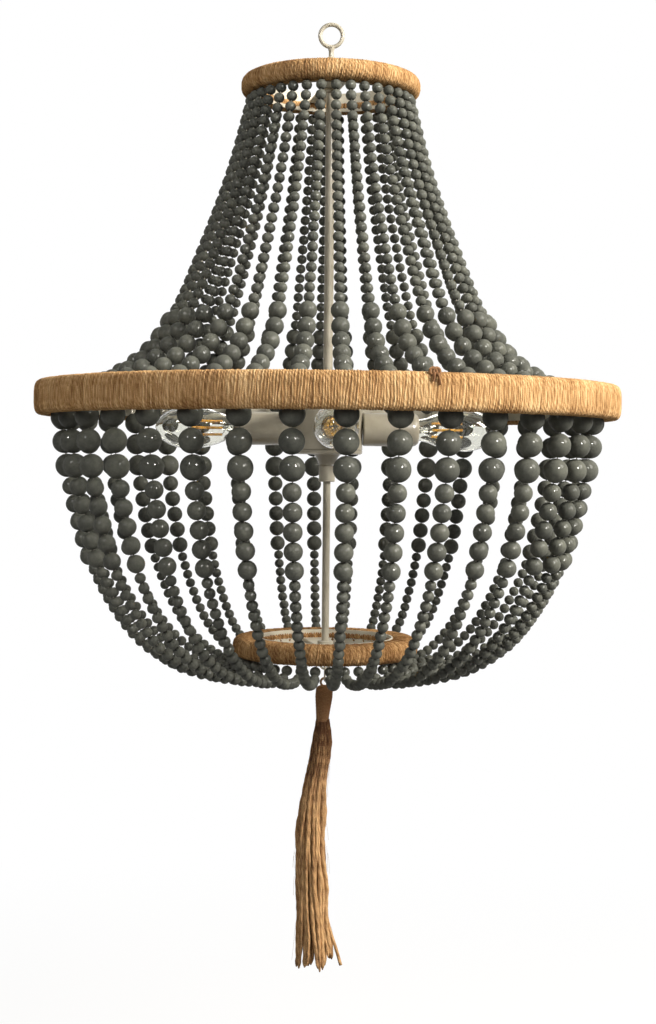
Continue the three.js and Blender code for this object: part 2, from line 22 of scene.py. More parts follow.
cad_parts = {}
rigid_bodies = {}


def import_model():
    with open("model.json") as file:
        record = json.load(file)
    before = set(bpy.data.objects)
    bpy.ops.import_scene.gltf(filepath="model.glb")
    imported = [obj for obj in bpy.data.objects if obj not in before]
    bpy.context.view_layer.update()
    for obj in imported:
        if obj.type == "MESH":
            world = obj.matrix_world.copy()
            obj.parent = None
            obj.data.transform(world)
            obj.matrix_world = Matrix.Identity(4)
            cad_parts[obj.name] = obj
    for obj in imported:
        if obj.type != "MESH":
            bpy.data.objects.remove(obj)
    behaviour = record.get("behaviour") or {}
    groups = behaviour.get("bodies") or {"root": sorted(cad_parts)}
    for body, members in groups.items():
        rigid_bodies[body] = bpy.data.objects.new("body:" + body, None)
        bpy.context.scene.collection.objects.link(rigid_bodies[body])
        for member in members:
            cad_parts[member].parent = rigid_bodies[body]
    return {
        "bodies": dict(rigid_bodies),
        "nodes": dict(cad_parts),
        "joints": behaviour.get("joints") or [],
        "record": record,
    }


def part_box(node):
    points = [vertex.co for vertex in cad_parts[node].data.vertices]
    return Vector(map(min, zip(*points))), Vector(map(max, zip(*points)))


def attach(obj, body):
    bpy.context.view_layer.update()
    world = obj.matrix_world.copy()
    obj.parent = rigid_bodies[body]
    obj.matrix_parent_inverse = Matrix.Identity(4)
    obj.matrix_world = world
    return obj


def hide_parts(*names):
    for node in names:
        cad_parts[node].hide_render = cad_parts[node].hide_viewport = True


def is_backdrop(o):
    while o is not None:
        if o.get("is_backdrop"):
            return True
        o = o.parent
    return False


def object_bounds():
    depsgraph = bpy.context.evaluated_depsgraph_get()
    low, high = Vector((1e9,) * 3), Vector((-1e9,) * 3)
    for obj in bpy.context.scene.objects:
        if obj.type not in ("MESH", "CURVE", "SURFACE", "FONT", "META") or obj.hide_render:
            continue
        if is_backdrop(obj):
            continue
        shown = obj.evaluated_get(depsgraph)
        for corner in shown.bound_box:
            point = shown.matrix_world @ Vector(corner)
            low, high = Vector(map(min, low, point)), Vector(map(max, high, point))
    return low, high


log = logging.getLogger("chandelier")

MM = 0.001
FULL_TURN = 2 * math.pi
FRONT_TURN = math.radians(3.5)
SMALL_BAR_TURN = math.radians(12.0)
GOLDEN_ANGLE = math.pi * (3 - math.sqrt(5))
SEED = 36
PLAIN_TONE = 0.5
WHITE = (1.0, 1.0, 1.0, 1.0)


# Shader helpers


class Signal:
    """One output of a shader node, with arithmetic written as operators."""

    def __init__(self, graph: "Graph", socket: bpy.types.NodeSocket) -> None:
        """Keeps the socket and the graph that it belongs to."""
        self.graph = graph
        self.socket = socket

    def __add__(self, other: "Value") -> "Signal":
        """This signal plus another value."""
        return self.graph.math("ADD", self, other)

    def __sub__(self, other: "Value") -> "Signal":
        """This signal less another value."""
        return self.graph.math("SUBTRACT", self, other)

    def __rsub__(self, other: "Value") -> "Signal":
        """A value less this signal."""
        return self.graph.math("SUBTRACT", other, self)

    def __mul__(self, other: "Value") -> "Signal":
        """This signal times another value."""
        return self.graph.math("MULTIPLY", self, other)

    __radd__ = __add__
    __rmul__ = __mul__


Value = Union[Signal, float, int, tuple]


class Graph:
    """A node tree under construction."""

    def __init__(self, tree: bpy.types.NodeTree) -> None:
        """Starts with an empty tree."""
        self.tree = tree
        self.tree.nodes.clear()

    def node(self, kind: str, settings: dict, inputs: dict, output: Union[str, int] = 0) -> Signal:
        """Adds a node of any kind.

        Args:
            kind: Blender's class name of the node.
            settings: Properties of the node itself; "stops" are a ramp's positions and colours.
            inputs: Input name or number to a value or a signal.
            output: Name or number of the output that is wanted.

        Returns:
            The node's output as a signal.
        """
        made = self.tree.nodes.new(kind)
        for key, value in settings.items():
            if key == "stops":
                self._set_stops(made.color_ramp.elements, value)
            else:
                setattr(made, key, value)
        for key, value in inputs.items():
            self.feed(made.inputs[key], value)
        return Signal(self, made.outputs[output])

    @staticmethod
    def _set_stops(elements: bpy.types.bpy_prop_collection, stops: Sequence[tuple[float, tuple]]) -> None:
        """Gives a ramp its positions and colours.

        Args:
            elements: The ramp's elements.
            stops: Their positions and colours.
        """
        while len(elements) < len(stops):
            elements.new(0.5)
        for element, (position, colour) in zip(elements, stops):
            element.position = position
            element.color = opaque(colour)

    def feed(self, socket: bpy.types.NodeSocket, value: Value) -> None:
        """Links a signal to a socket, or sets a plain value on it.

        Args:
            socket: The input to feed.
            value: The signal or the plain value.
        """
        if isinstance(value, Signal):
            self.tree.links.new(value.socket, socket)
        else:
            socket.default_value = value

    def math(self, operation: str, first: Value, second: Value = 0.0) -> Signal:
        """Arithmetic on one or two values."""
        return self.node("ShaderNodeMath", {"operation": operation}, {0: first, 1: second})

    def finish(self, kind: str, shader: Signal) -> None:
        """Sends a shader to the tree's output node of this kind, which is made the first time."""
        outputs = [node for node in self.tree.nodes if node.bl_idname == kind] or [self.tree.nodes.new(kind)]
        self.feed(outputs[0].inputs["Surface"], shader)

    def backdrop_rays(self) -> Signal:
        """One for rays that see the backdrop directly, in gloss or through glass, and nothing for all others.

        Returns:
            One or nothing, ray by ray.
        """
        kinds = ("Camera", "Glossy", "Transmission")
        camera, gloss, through = (self.node("ShaderNodeLightPath", {}, {}, f"Is {kind} Ray") for kind in kinds)
        return self.math("MAXIMUM", self.math("MAXIMUM", camera, gloss), through)


class Surface(Graph):
    """The node tree of one material, with a Principled shader as its surface."""

    def __init__(self, name: str) -> None:
        """Makes the material with its shader and its output.

        Args:
            name: The material's name.
        """
        self.material = bpy.data.materials.new(name)
        self.material.use_nodes = True
        super().__init__(self.material.node_tree)
        self.shader = self.node("ShaderNodeBsdfPrincipled", {}, {}, "BSDF")
        self.finish("ShaderNodeOutputMaterial", self.shader)

    def set(self, **inputs: Value) -> None:
        """Sets inputs of the Principled shader, named with underscores in place of spaces."""
        for key, value in inputs.items():
            self.feed(self.shader.socket.node.inputs[key.replace("_", " ")], value)

    def attribute(self, name: str) -> Signal:
        """The value of a number stored on the mesh."""
        return self.node("ShaderNodeAttribute", {"attribute_name": name}, {}, "Fac")

    def unwrapped(self) -> tuple[Signal, Signal, Signal]:
        """The UV coordinates, then the first and the second of them by itself.

        Returns:
            The three signals.
        """
        uv = self.node("ShaderNodeUVMap", {"uv_map": "UVMap"}, {}, "UV")
        first, second = (self.node("ShaderNodeSeparateXYZ", {}, {"Vector": uv}, axis) for axis in "XY")
        return uv, first, second

    def noise(
        self,
        scale: float,
        detail: float = 2.0,
        stretch: tuple = (1.0, 1.0, 1.0),
        place: Optional[Signal] = None,
    ) -> Signal:
        """Noise round 0, mostly between -0.25 and 0.25.

        Args:
            scale: Features in each unit of the coordinates, a metre on Object coordinates.
            detail: Finer layers of the noise.
            stretch: How much each coordinate is scaled first.
            place: The coordinates; without it they are Object coordinates.

        Returns:
            The noise.
        """
        if place is None:
            place = self.node("ShaderNodeTexCoord", {}, {}, "Object")
        stretched = self.node("ShaderNodeMapping", {}, {"Vector": place, "Scale": stretch})
        inputs = {"Vector": stretched, "Scale": scale, "Detail": detail}
        return self.node("ShaderNodeTexNoise", {}, inputs, "Fac") - 0.5

    def ramp(self, amount: Value, stops: Sequence[tuple[float, tuple]]) -> Signal:
        """Colours at positions from 0 to 1, blended in between."""
        return self.node("ShaderNodeValToRGB", {"stops": stops}, {"Fac": amount}, "Color")

    def bump(self, height: Signal, distance: float, strength: float = 1.0) -> Signal:
        """A bumped normal from a height from 0 to 1 and its depth in metres."""
        inputs = {"Height": height, "Distance": distance, "Strength": strength}
        return self.node("ShaderNodeBump", {}, inputs, "Normal")


def linear(red: int, green: int, blue: int) -> tuple[float, float, float]:
    """A colour given in sRGB steps from 0 to 255, as linear values.

    Args:
        red: The red channel.
        green: The green channel.
        blue: The blue channel.

    Returns:
        The linear colour.
    """
    return tuple(
        channel / 12.92 if channel <= 0.04045 else ((channel + 0.055) / 1.055) ** 2.4
        for channel in (red / 255, green / 255, blue / 255)
    )


def opaque(colour: tuple) -> tuple:
    """A colour with full alpha."""
    return (*colour, 1.0)


# Finishes


@dataclass(frozen=True)
class Finish:
    """A material and the record's slot that it stands for."""

    name: str
    slot: str

    def build(self) -> bpy.types.Material:
        """Makes the material."""
        raise NotImplementedError


@dataclass(frozen=True)
class Paint(Finish):
    """Satin off-white paint on metal or plastic, slightly uneven."""

    # These defaults are the stem's copy, set darker than the off-white paint as painted shade.
    light: tuple = linear(184, 177, 160)
    dark: tuple = linear(160, 153, 136)
    roughness: float = 0.36
    coat: float = 0.05

    def build(self) -> bpy.types.Material:
        """Makes the material.

        Returns:
            The material.
        """
        surface = Surface(self.name)
        mottle = surface.noise(45.0, 3.0) + surface.noise(9.0, 1.0) + 0.5
        surface.set(
            Base_Color=surface.ramp(mottle, [(0.3, self.dark), (0.7, self.light)]),
            Roughness=surface.noise(260.0, 2.0) * 0.2 + self.roughness,
            Specular_IOR_Level=0.12,
            Coat_Weight=self.coat,
            Coat_Roughness=0.12,
            Normal=surface.bump(surface.noise(900.0, 1.0), 0.05 * MM, 0.35),
        )
        return surface.material


@dataclass(frozen=True)
class Lacquer(Finish):
    """Glossy grey lacquer on turned wood. Each bead has its own tone, with clouds and fine specks in it."""

    light: tuple = linear(113, 114, 103)
    middle: tuple = linear(91, 92, 85)
    dark: tuple = linear(65, 67, 63)
    roughness: float = 0.45

    def build(self) -> bpy.types.Material:
        """Makes the material.

        Returns:
            The material.
        """
        surface = Surface(self.name)
        clouds, specks = surface.noise(130.0, 3.0), surface.noise(600.0)
        tone = surface.attribute("tone") * 0.3 + clouds * 0.7 + specks * 0.3 + 0.35
        surface.set(
            Base_Color=surface.ramp(tone, [(0.05, self.dark), (0.5, self.middle), (0.95, self.light)]),
            Roughness=surface.noise(300.0, 2.0) * 0.3 + self.roughness,
            Specular_IOR_Level=0.0,
            Coat_Weight=0.15,
            Coat_Roughness=0.11,
            Normal=surface.bump(surface.noise(380.0, 3.0), 0.1 * MM, 0.3),
        )
        return surface.material


@dataclass(frozen=True)
class Jute(Finish):
    """Close-wound jute twine, with painted shade between its turns and between its plies, broken streaks, patches
    and loose fibres.
    """

    pale: tuple = linear(228, 192, 143)
    middle: tuple = linear(184, 143, 95)
    deep: tuple = linear(124, 87, 52)

    def build(self) -> bpy.types.Material:
        """Makes the material.

        Returns:
            The material.
        """
        surface = Surface(self.name)
        uv, turn, along = surface.unwrapped()
        across = surface.math("FRACT", turn)
        own = surface.node(
            "ShaderNodeTexWhiteNoise", {"noise_dimensions": "1D"}, {"W": surface.math("FLOOR", turn)}, "Value"
        )
        plies = surface.math("SINE", (along + across * 0.8 + own * 5.0) * FULL_TURN)
        streaks = surface.noise(1.0, 3.0, (1.3, 0.42, 1.0), uv)
        fibre = surface.noise(1300.0, 3.0)
        patches = surface.noise(26.0, 2.0)
        # The tone attribute falls to nothing in the grooves between turns, and the plies darken the grooves
        # between plies: painted shade. The streaks, fibre, patches and each turn's own tone are the twine's own
        # colour.
        tone = (
            surface.attribute("tone") * 0.46
            + plies * 0.1
            + streaks * 1.2
            + fibre * 0.7
            + patches * 0.9
            + own * 0.1
        )
        surface.set(
            Base_Color=surface.ramp(tone + 0.2, [(0.02, self.deep), (0.5, self.middle), (0.98, self.pale)]),
            Roughness=0.88,
            Specular_IOR_Level=0.06,
            Normal=surface.bump(plies * 0.3 + fibre * 1.2 + streaks, 0.5 * MM, 0.8),
        )
        return surface.material


@dataclass(frozen=True)
class Yarn(Finish):
    """Loose jute yarn: long streaks of fibre along it, each yarn of its own tone."""

    pale: tuple = linear(206, 166, 118)
    middle: tuple = linear(168, 129, 88)
    deep: tuple = linear(92, 62, 40)

    def build(self) -> bpy.types.Material:
        """Makes the material.

        Returns:
            The material.
        """
        surface = Surface(self.name)
        uv, around, along = surface.unwrapped()
        plies = surface.math("SINE", (around * 2.0 + along * 0.5) * FULL_TURN)
        streaks = surface.noise(1.0, 2.0, (4.0, 0.8, 1.0), uv)
        fibre = surface.noise(900.0, 3.0)
        patches = surface.noise(42.0, 2.0)
        # The plies darken the grooves between plies, as painted shade. On the skirt the tone attribute holds each
        # yarn's own tone, with painted shade towards the neck.
        tone = (
            surface.attribute("tone") * 0.55 + plies * 0.09 + streaks * 0.8 + fibre * 0.8 + patches * 0.7 + 0.2
        )
        surface.set(
            Base_Color=surface.ramp(tone, [(0.05, self.deep), (0.5, self.middle), (0.95, self.pale)]),
            Roughness=0.85,
            Specular_IOR_Level=0.06,
            Normal=surface.bump(plies * 0.3 + streaks + fibre, 0.5 * MM, 0.9),
        )
        return surface.material


@dataclass(frozen=True)
class Metal(Finish):
    """Bare metal, brushed a little unevenly."""

    colour: tuple
    roughness: float

    def build(self) -> bpy.types.Material:
        """Makes the material.

        Returns:
            The material.
        """
        surface = Surface(self.name)
        surface.set(
            Base_Color=opaque(self.colour),
            Metallic=1.0,
            Roughness=surface.noise(500.0, 2.0) * 0.3 + self.roughness,
        )
        return surface.material


@dataclass(frozen=True)
class Glass(Finish):
    """Clear glass."""

    tint: tuple = (0.87, 0.87, 0.82)

    def build(self) -> bpy.types.Material:
        """Makes the material.

        Returns:
            The material.
        """
        surface = Surface(self.name)
        surface.set(
            Base_Color=opaque(self.tint),
            Roughness=0.015,
            IOR=1.45,
            Transmission_Weight=1.0,
        )
        return surface.material


@dataclass(frozen=True)
class Filament(Finish):
    """Golden coating on the filament sticks, brighter in places."""

    light: tuple = linear(232, 174, 58)
    dark: tuple = linear(176, 122, 34)

    def build(self) -> bpy.types.Material:
        """Makes the material.

        Returns:
            The material.
        """
        surface = Surface(self.name)
        surface.set(
            Base_Color=surface.ramp(surface.noise(90.0) + 0.5, [(0.3, self.dark), (0.7, self.light)]),
            Roughness=0.4,
        )
        return surface.material


class Finishes(Enum):
    """Every finish that the chandelier has."""

    # The stem's paint and the bands' paint are one off-white paint in two copies: the stem's is darker, painted
    # shade among the strands, and the bands' is lighter, painted light. The holders' enamel is also set darker
    # than its white, as painted shade.
    PAINT = Paint("shaded_stem_paint", "painted_metal")
    LIT_BAND_PAINT = Paint("lit_band_paint", "painted_metal", linear(216, 209, 190), linear(196, 188, 168), 0.42)
    ENAMEL = Paint("holder_enamel", "lamp_holder", linear(184, 176, 157), linear(164, 156, 137), 0.3, 0.5)
    LACQUER = Lacquer("bead_lacquer", "bead_lacquer")
    WRAP = Jute("jute_wrap", "jute_wrap")
    YARN = Yarn("tassel_yarn", "tassel_yarn")
    TWINE = Yarn("neck_twine", "tassel_yarn", linear(196, 150, 104), linear(152, 112, 77), linear(96, 66, 45))
    WIRE = Metal("strand_wire", "painted_metal", linear(120, 116, 106), 0.4)
    BRASS = Metal("bulb_brass", "bulb_glass", linear(196, 160, 96), 0.3)
    GLASS = Glass("bulb_glass", "bulb_glass")
    FILAMENT = Filament("bulb_filament", "bulb_glass")


class Palette:
    """Makes each finish's material once."""

    def __init__(self) -> None:
        """Starts with no material made."""
        self.made: dict[Finishes, bpy.types.Material] = {}

    def material(self, finish: Finishes) -> bpy.types.Material:
        """Returns the finish's material, and makes it the first time.

        Args:
            finish: The finish.

        Returns:
            Its material.
        """
        if finish not in self.made:
            self.made[finish] = finish.value.build()
        return self.made[finish]


# Geometry helpers


Pairs = Sequence[tuple[float, float]]


def smooth_step(amount: float) -> float:
    """Eases an amount from 0 to 1, and holds it there outside."""
    held = min(1.0, max(0.0, amount))
    return held * held * (3 - 2 * held)


def interpolate(rows: Pairs, place: float) -> float:
    """A value between the rows of (place, value), along straight lines.

    Args:
        rows: The places and values.
        place: Where the value is wanted.

    Returns:
        The value.
    """
    if place <= rows[0][0]:
        return rows[0][1]
    for (start, first), (end, second) in zip(rows, rows[1:]):
        if place <= end:
            return first + (second - first) * (place - start) / (end - start)
    return rows[-1][1]


def eased(rows: Pairs, place: float, reach: float = 0.05) -> float:
    """A value between the rows of (place, value), with its corners rounded off.

    Args:
        rows: The places and values.
        place: Where the value is wanted.
        reach: How far from a corner the rounding starts.

    Returns:
        The value.
    """
    spots = (-1.0, -0.5, 0.0, 0.5, 1.0)
    return sum(interpolate(rows, place + reach * spot) for spot in spots) / len(spots)


def signed_power(amount: float, power: float) -> float:
    """A power of an amount's size, with the amount's sign."""
    return math.copysign(abs(amount) ** power, amount)


def profile_at(rows: Pairs, radius: float, height: float) -> list[tuple[float, float]]:
    """Part of a profile, from rows in millimetres out from a radius and up from a height."""
    return [(radius + out * MM, height + up * MM) for out, up in rows]


def turned(angle: float) -> Matrix:
    """A turn about Z."""
    return Matrix.Rotation(angle, 4, "Z")


def circle(radius: float, count: int, centre: Vector) -> list[Vector]:
    """Points of an upright circle that faces the front."""
    turns = (FULL_TURN * k / count for k in range(count))
    return [centre + Vector((radius * math.cos(a), 0.0, radius * math.sin(a))) for a in turns]


class Course:
    """A centripetal Catmull-Rom curve through points, measured along its length, as the CAD strands run."""

    STEPS = 40

    def __init__(self, points: Sequence[Vector]) -> None:
        """Runs the curve and measures it.

        Args:
            points: The points that it passes.
        """
        ends = [points[0] * 2 - points[1], *points, points[-1] * 2 - points[-2]]
        self.line = [points[0].copy()]
        for first, start, end, last in zip(ends, ends[1:], ends[2:], ends[3:]):
            knots = [max((b - a).length ** 0.5, 1e-4) for a, b in ((first, start), (start, end), (end, last))]
            leave = self._slope(first, start, end, knots[0], knots[1]) * knots[1]
            arrive = self._slope(start, end, last, knots[1], knots[2]) * knots[1]
            for step in range(1, self.STEPS + 1):
                t = step / self.STEPS
                self.line.append(
                    start
                    + leave * t
                    + (end * 3 - start * 3 - leave * 2 - arrive) * t**2
                    + (start * 2 - end * 2 + leave + arrive) * t**3
                )
        self.lengths = [0.0]
        for a, b in zip(self.line, self.line[1:]):
            self.lengths.append(self.lengths[-1] + (b - a).length)

    @staticmethod
    def _slope(before: Vector, here: Vector, after: Vector, first: float, second: float) -> Vector:
        """The curve's slope at a point between two others, for the knots on each side of it."""
        return (here - before) / first - (after - before) / (first + second) + (after - here) / second

    @property
    def length(self) -> float:
        """The curve's whole length."""
        return self.lengths[-1]

    def at(self, distance: float) -> tuple[Vector, Vector]:
        """The point and the direction at a distance along the curve.

        Args:
            distance: How far along the curve the point is.

        Returns:
            The point and the direction there.
        """
        low, high = 0, len(self.lengths) - 1
        while high - low > 1:
            middle = (low + high) // 2
            if self.lengths[middle] <= distance:
                low = middle
            else:
                high = middle
        span = self.lengths[high] - self.lengths[low]
        share = (distance - self.lengths[low]) / span
        direction = self.line[high] - self.line[low]
        return self.line[low] + direction * share, direction.normalized()

    def points(self, count: int, reach: float = 0.999) -> list[Vector]:
        """Points at even steps along the curve.

        Args:
            count: The number of steps, one less than the points.
            reach: How far along the last point is, as a share of the curve's length.

        Returns:
            The points.
        """
        return [self.at(self.length * step / count * reach)[0] for step in range(count + 1)]


class Shape:
    """A mesh under construction, with a tone on each vertex."""

    MERGE = 0.005 * MM
    UV_PITCH = 6.0 * MM
    SIDE_SHARE = 0.999

    def __init__(self) -> None:
        """Starts an empty mesh with its layers."""
        self.bm = bmesh.new()
        self.tone = self.bm.verts.layers.float.new("tone")
        self.uv = self.bm.loops.layers.uv.new("UVMap")

    def to_mesh(self, name: str) -> bpy.types.Mesh:
        """Turns the shape into mesh data and lets the shape go.

        Args:
            name: The mesh's name.

        Returns:
            The mesh.
        """
        mesh = bpy.data.meshes.new(name)
        self.bm.to_mesh(mesh)
        self.bm.free()
        return mesh

    def copy(self, template: bpy.types.Mesh, place: Matrix, tone: float = PLAIN_TONE) -> None:
        """Adds a copy of a mesh.

        Args:
            template: The mesh.
            place: Where the copy goes, how it is turned and how large it is.
            tone: The tone of its vertices, from 0 to 1.
        """
        before = len(self.bm.verts)
        self.bm.from_mesh(template)
        made = list(self.bm.verts)[before:]
        bmesh.ops.transform(self.bm, matrix=place, verts=made)
        for vertex in made:
            vertex[self.tone] = tone

    def lathe(self, profile: Pairs, segments: int, place: Optional[Matrix] = None) -> None:
        """Revolves a profile about Z.

        Args:
            profile: Pairs of radius and height.
            segments: Steps of a full turn.
            place: Where the turned shape goes.
        """
        before = set(self.bm.verts)
        corners = [self.bm.verts.new((radius, 0.0, height)) for radius, height in profile]
        edges = [self.bm.edges.new(pair) for pair in zip(corners, corners[1:])]
        bmesh.ops.spin(
            self.bm,
            geom=[*corners, *edges],
            cent=(0, 0, 0),
            axis=(0, 0, 1),
            angle=FULL_TURN,
            steps=segments,
            use_merge=True,
        )
        made = [vertex for vertex in self.bm.verts if vertex not in before]
        bmesh.ops.remove_doubles(self.bm, verts=made, dist=self.MERGE)
        made = [vertex for vertex in self.bm.verts if vertex not in before]
        for vertex in made:
            vertex[self.tone] = PLAIN_TONE
        if place is not None:
            bmesh.ops.transform(self.bm, matrix=place, verts=made)

    def tube(
        self,
        line: Sequence[Vector],
        radius: Union[float, Callable[[int, float], float]],
        sides: int,
        closed: bool = False,
        tone: Union[float, Callable[[int], float]] = PLAIN_TONE,
        number: int = 0,
    ) -> None:
        """Adds a round or lobed tube along a line.

        Args:
            line: Its centreline.
            radius: The radius, or a function of the ring's number and the angle round it.
            sides: Points in each ring.
            closed: Whether the line meets its own start.
            tone: The tone of its vertices, or a function of the ring's number.
            number: The tube's own number, the whole part of its first UV coordinate.
        """
        rings = []
        count = len(line)
        reference = None
        for step, point in enumerate(line):
            if closed:
                ahead = line[(step + 1) % count] - line[step - 1]
            else:
                ahead = line[min(step + 1, count - 1)] - line[max(step - 1, 0)]
            ahead = ahead.normalized()
            if reference is None:
                reference = ahead.orthogonal().normalized()
            reference = (reference - ahead * reference.dot(ahead)).normalized()
            side = ahead.cross(reference)
            ring = []
            for k in range(sides):
                angle = FULL_TURN * k / sides
                reach = radius(step, angle) if callable(radius) else radius
                vertex = self.bm.verts.new(point + (reference * math.cos(angle) + side * math.sin(angle)) * reach)
                vertex[self.tone] = tone(step) if callable(tone) else tone
                ring.append(vertex)
            rings.append(ring)
        pairs = list(zip(rings, rings[1:]))
        if closed:
            pairs.append((rings[-1], rings[0]))
        travelled = 0.0
        for first, second in pairs:
            ahead = travelled + (second[0].co - first[0].co).length
            for k in range(sides):
                following = (k + 1) % sides
                face = self.bm.faces.new((first[k], first[following], second[following], second[k]))
                left, right = number + k / sides, number + (k + self.SIDE_SHARE) / sides
                corners = ((left, travelled), (right, travelled), (right, ahead), (left, ahead))
                for loop, (across, along) in zip(face.loops, corners):
                    loop[self.uv].uv = (across, along / self.UV_PITCH)
            travelled = ahead
        if not closed:
            self.bm.faces.new(reversed(rings[0]))
            self.bm.faces.new(rings[-1])

    def ring(
        self, radius: float, wire: float, height: float, steps: int, sides: int, tone: float = PLAIN_TONE
    ) -> None:
        """Adds an upright ring of round wire on the axis, facing the front.

        Args:
            radius: The radius of its centreline.
            wire: The radius of the wire.
            height: The height of its centre.
            steps: Steps round the ring.
            sides: Points round the wire.
            tone: The tone of its vertices.
        """
        self.tube(circle(radius, steps, Vector((0.0, 0.0, height))), wire, sides, closed=True, tone=tone)

    def ring_grid(
        self,
        rows: int,
        columns: int,
        place: Callable[[int, int], tuple[Vector, float]],
        unwrap: Callable[[int, int], tuple[float, float]],
    ) -> None:
        """Adds a skin that closes on itself both ways.

        Args:
            rows: Points one way.
            columns: Points the other way.
            place: Gives the point and tone of a row and column.
            unwrap: Gives the UV coordinates of a row and column.
        """
        grid = []
        for row in range(rows):
            line = []
            for column in range(columns):
                point, tone = place(row, column)
                vertex = self.bm.verts.new(point)
                vertex[self.tone] = tone
                line.append(vertex)
            grid.append(line)
        for row in range(rows):
            for column in range(columns):
                corners = ((row, column), (row + 1, column), (row + 1, column + 1), (row, column + 1))
                face = self.bm.faces.new([grid[r % rows][c % columns] for r, c in corners])
                for loop, (r, c) in zip(face.loops, corners):
                    loop[self.uv].uv = unwrap(r, c)

    def block(self, size: Vector, place: Matrix, ease: float) -> None:
        """Adds a box with eased edges.

        Args:
            size: Its three sides.
            place: Where its centre goes and how it is turned.
            ease: The width of the bevel on its edges.
        """
        made = bmesh.ops.create_cube(self.bm, size=1.0, matrix=place @ Matrix.Diagonal((*size, 1.0)))["verts"]
        edges = {edge for vertex in made for edge in vertex.link_edges}
        bmesh.ops.bevel(
            self.bm, geom=list(edges), offset=ease, segments=2, profile=0.5, affect="EDGES", material=-1
        )


class Workshop:
    """Turns shapes into finished pieces that ride on the frame's bodies."""

    def __init__(self, frame: dict, palette: Palette, dice: random.Random) -> None:
        """Keeps the loaded frame, the palette and the source of all unevenness.

        Args:
            frame: The loaded frame.
            palette: The materials.
            dice: The source of all unevenness.
        """
        self.frame = frame
        self.palette = palette
        self.dice = dice

    def piece(
        self,
        name: str,
        shape: Shape,
        finish: Finishes,
        body: str = "frame",
        nodes: Sequence[str] = (),
        crease: Optional[float] = 35.0,
    ) -> None:
        """Finishes a shape as a piece.

        Args:
            name: The piece's name.
            shape: Its mesh, in the frame's axes.
            finish: What it is made of.
            body: The CAD body that it rides on.
            nodes: The CAD nodes that it stands for.
            crease: Edges sharper than this many degrees stay sharp; None leaves all smooth.
        """
        bmesh.ops.recalc_face_normals(shape.bm, faces=shape.bm.faces)
        mesh = shape.to_mesh(name)
        mesh.polygons.foreach_set("use_smooth", [True] * len(mesh.polygons))
        if crease is not None:
            mesh.set_sharp_from_angle(angle=math.radians(crease))
        mesh.materials.append(self.palette.material(finish))
        made = bpy.data.objects.new(name, mesh)
        bpy.context.collection.objects.link(made)
        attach(made, body)
        if nodes:
            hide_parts(*nodes)
        log.info("%s rides on %s and has %d faces", name, body, len(mesh.polygons))

    def turned_piece(
        self,
        name: str,
        profile: Pairs,
        segments: int,
        finish: Finishes,
        place: Optional[Matrix] = None,
        **riding: object,
    ) -> None:
        """Makes a piece that is one turned shape.

        Args:
            name: The piece's name.
            profile: Pairs of radius and height.
            segments: Steps of a full turn.
            finish: What it is made of.
            place: Where the turned shape goes.
            riding: The body, nodes and crease, as for any piece.
        """
        shape = Shape()
        shape.lathe(profile, segments, place)
        self.piece(name, shape, finish, **riding)

    def reach(self, node: str) -> tuple[float, float]:
        """The least and greatest distance of a node's vertices from the Z axis."""
        radii = [math.hypot(v.co.x, v.co.y) for v in self.frame["nodes"][node].data.vertices]
        return min(radii), max(radii)

    def heights(self, node: str) -> tuple[float, float]:
        """The lowest and highest point of a node."""
        low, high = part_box(node)
        return low.z, high.z

    def middle(self, node: str) -> float:
        """The height halfway up a node."""
        return sum(self.heights(node)) / 2


# Sub-assemblies


class Side(Enum):
    """The upper or the lower side of a hoop."""

    TOP = 1.0
    BOTTOM = -1.0


class Assembly:
    """Pieces that belong together."""

    def build(self, shop: Workshop) -> None:
        """Makes the pieces."""
        raise NotImplementedError


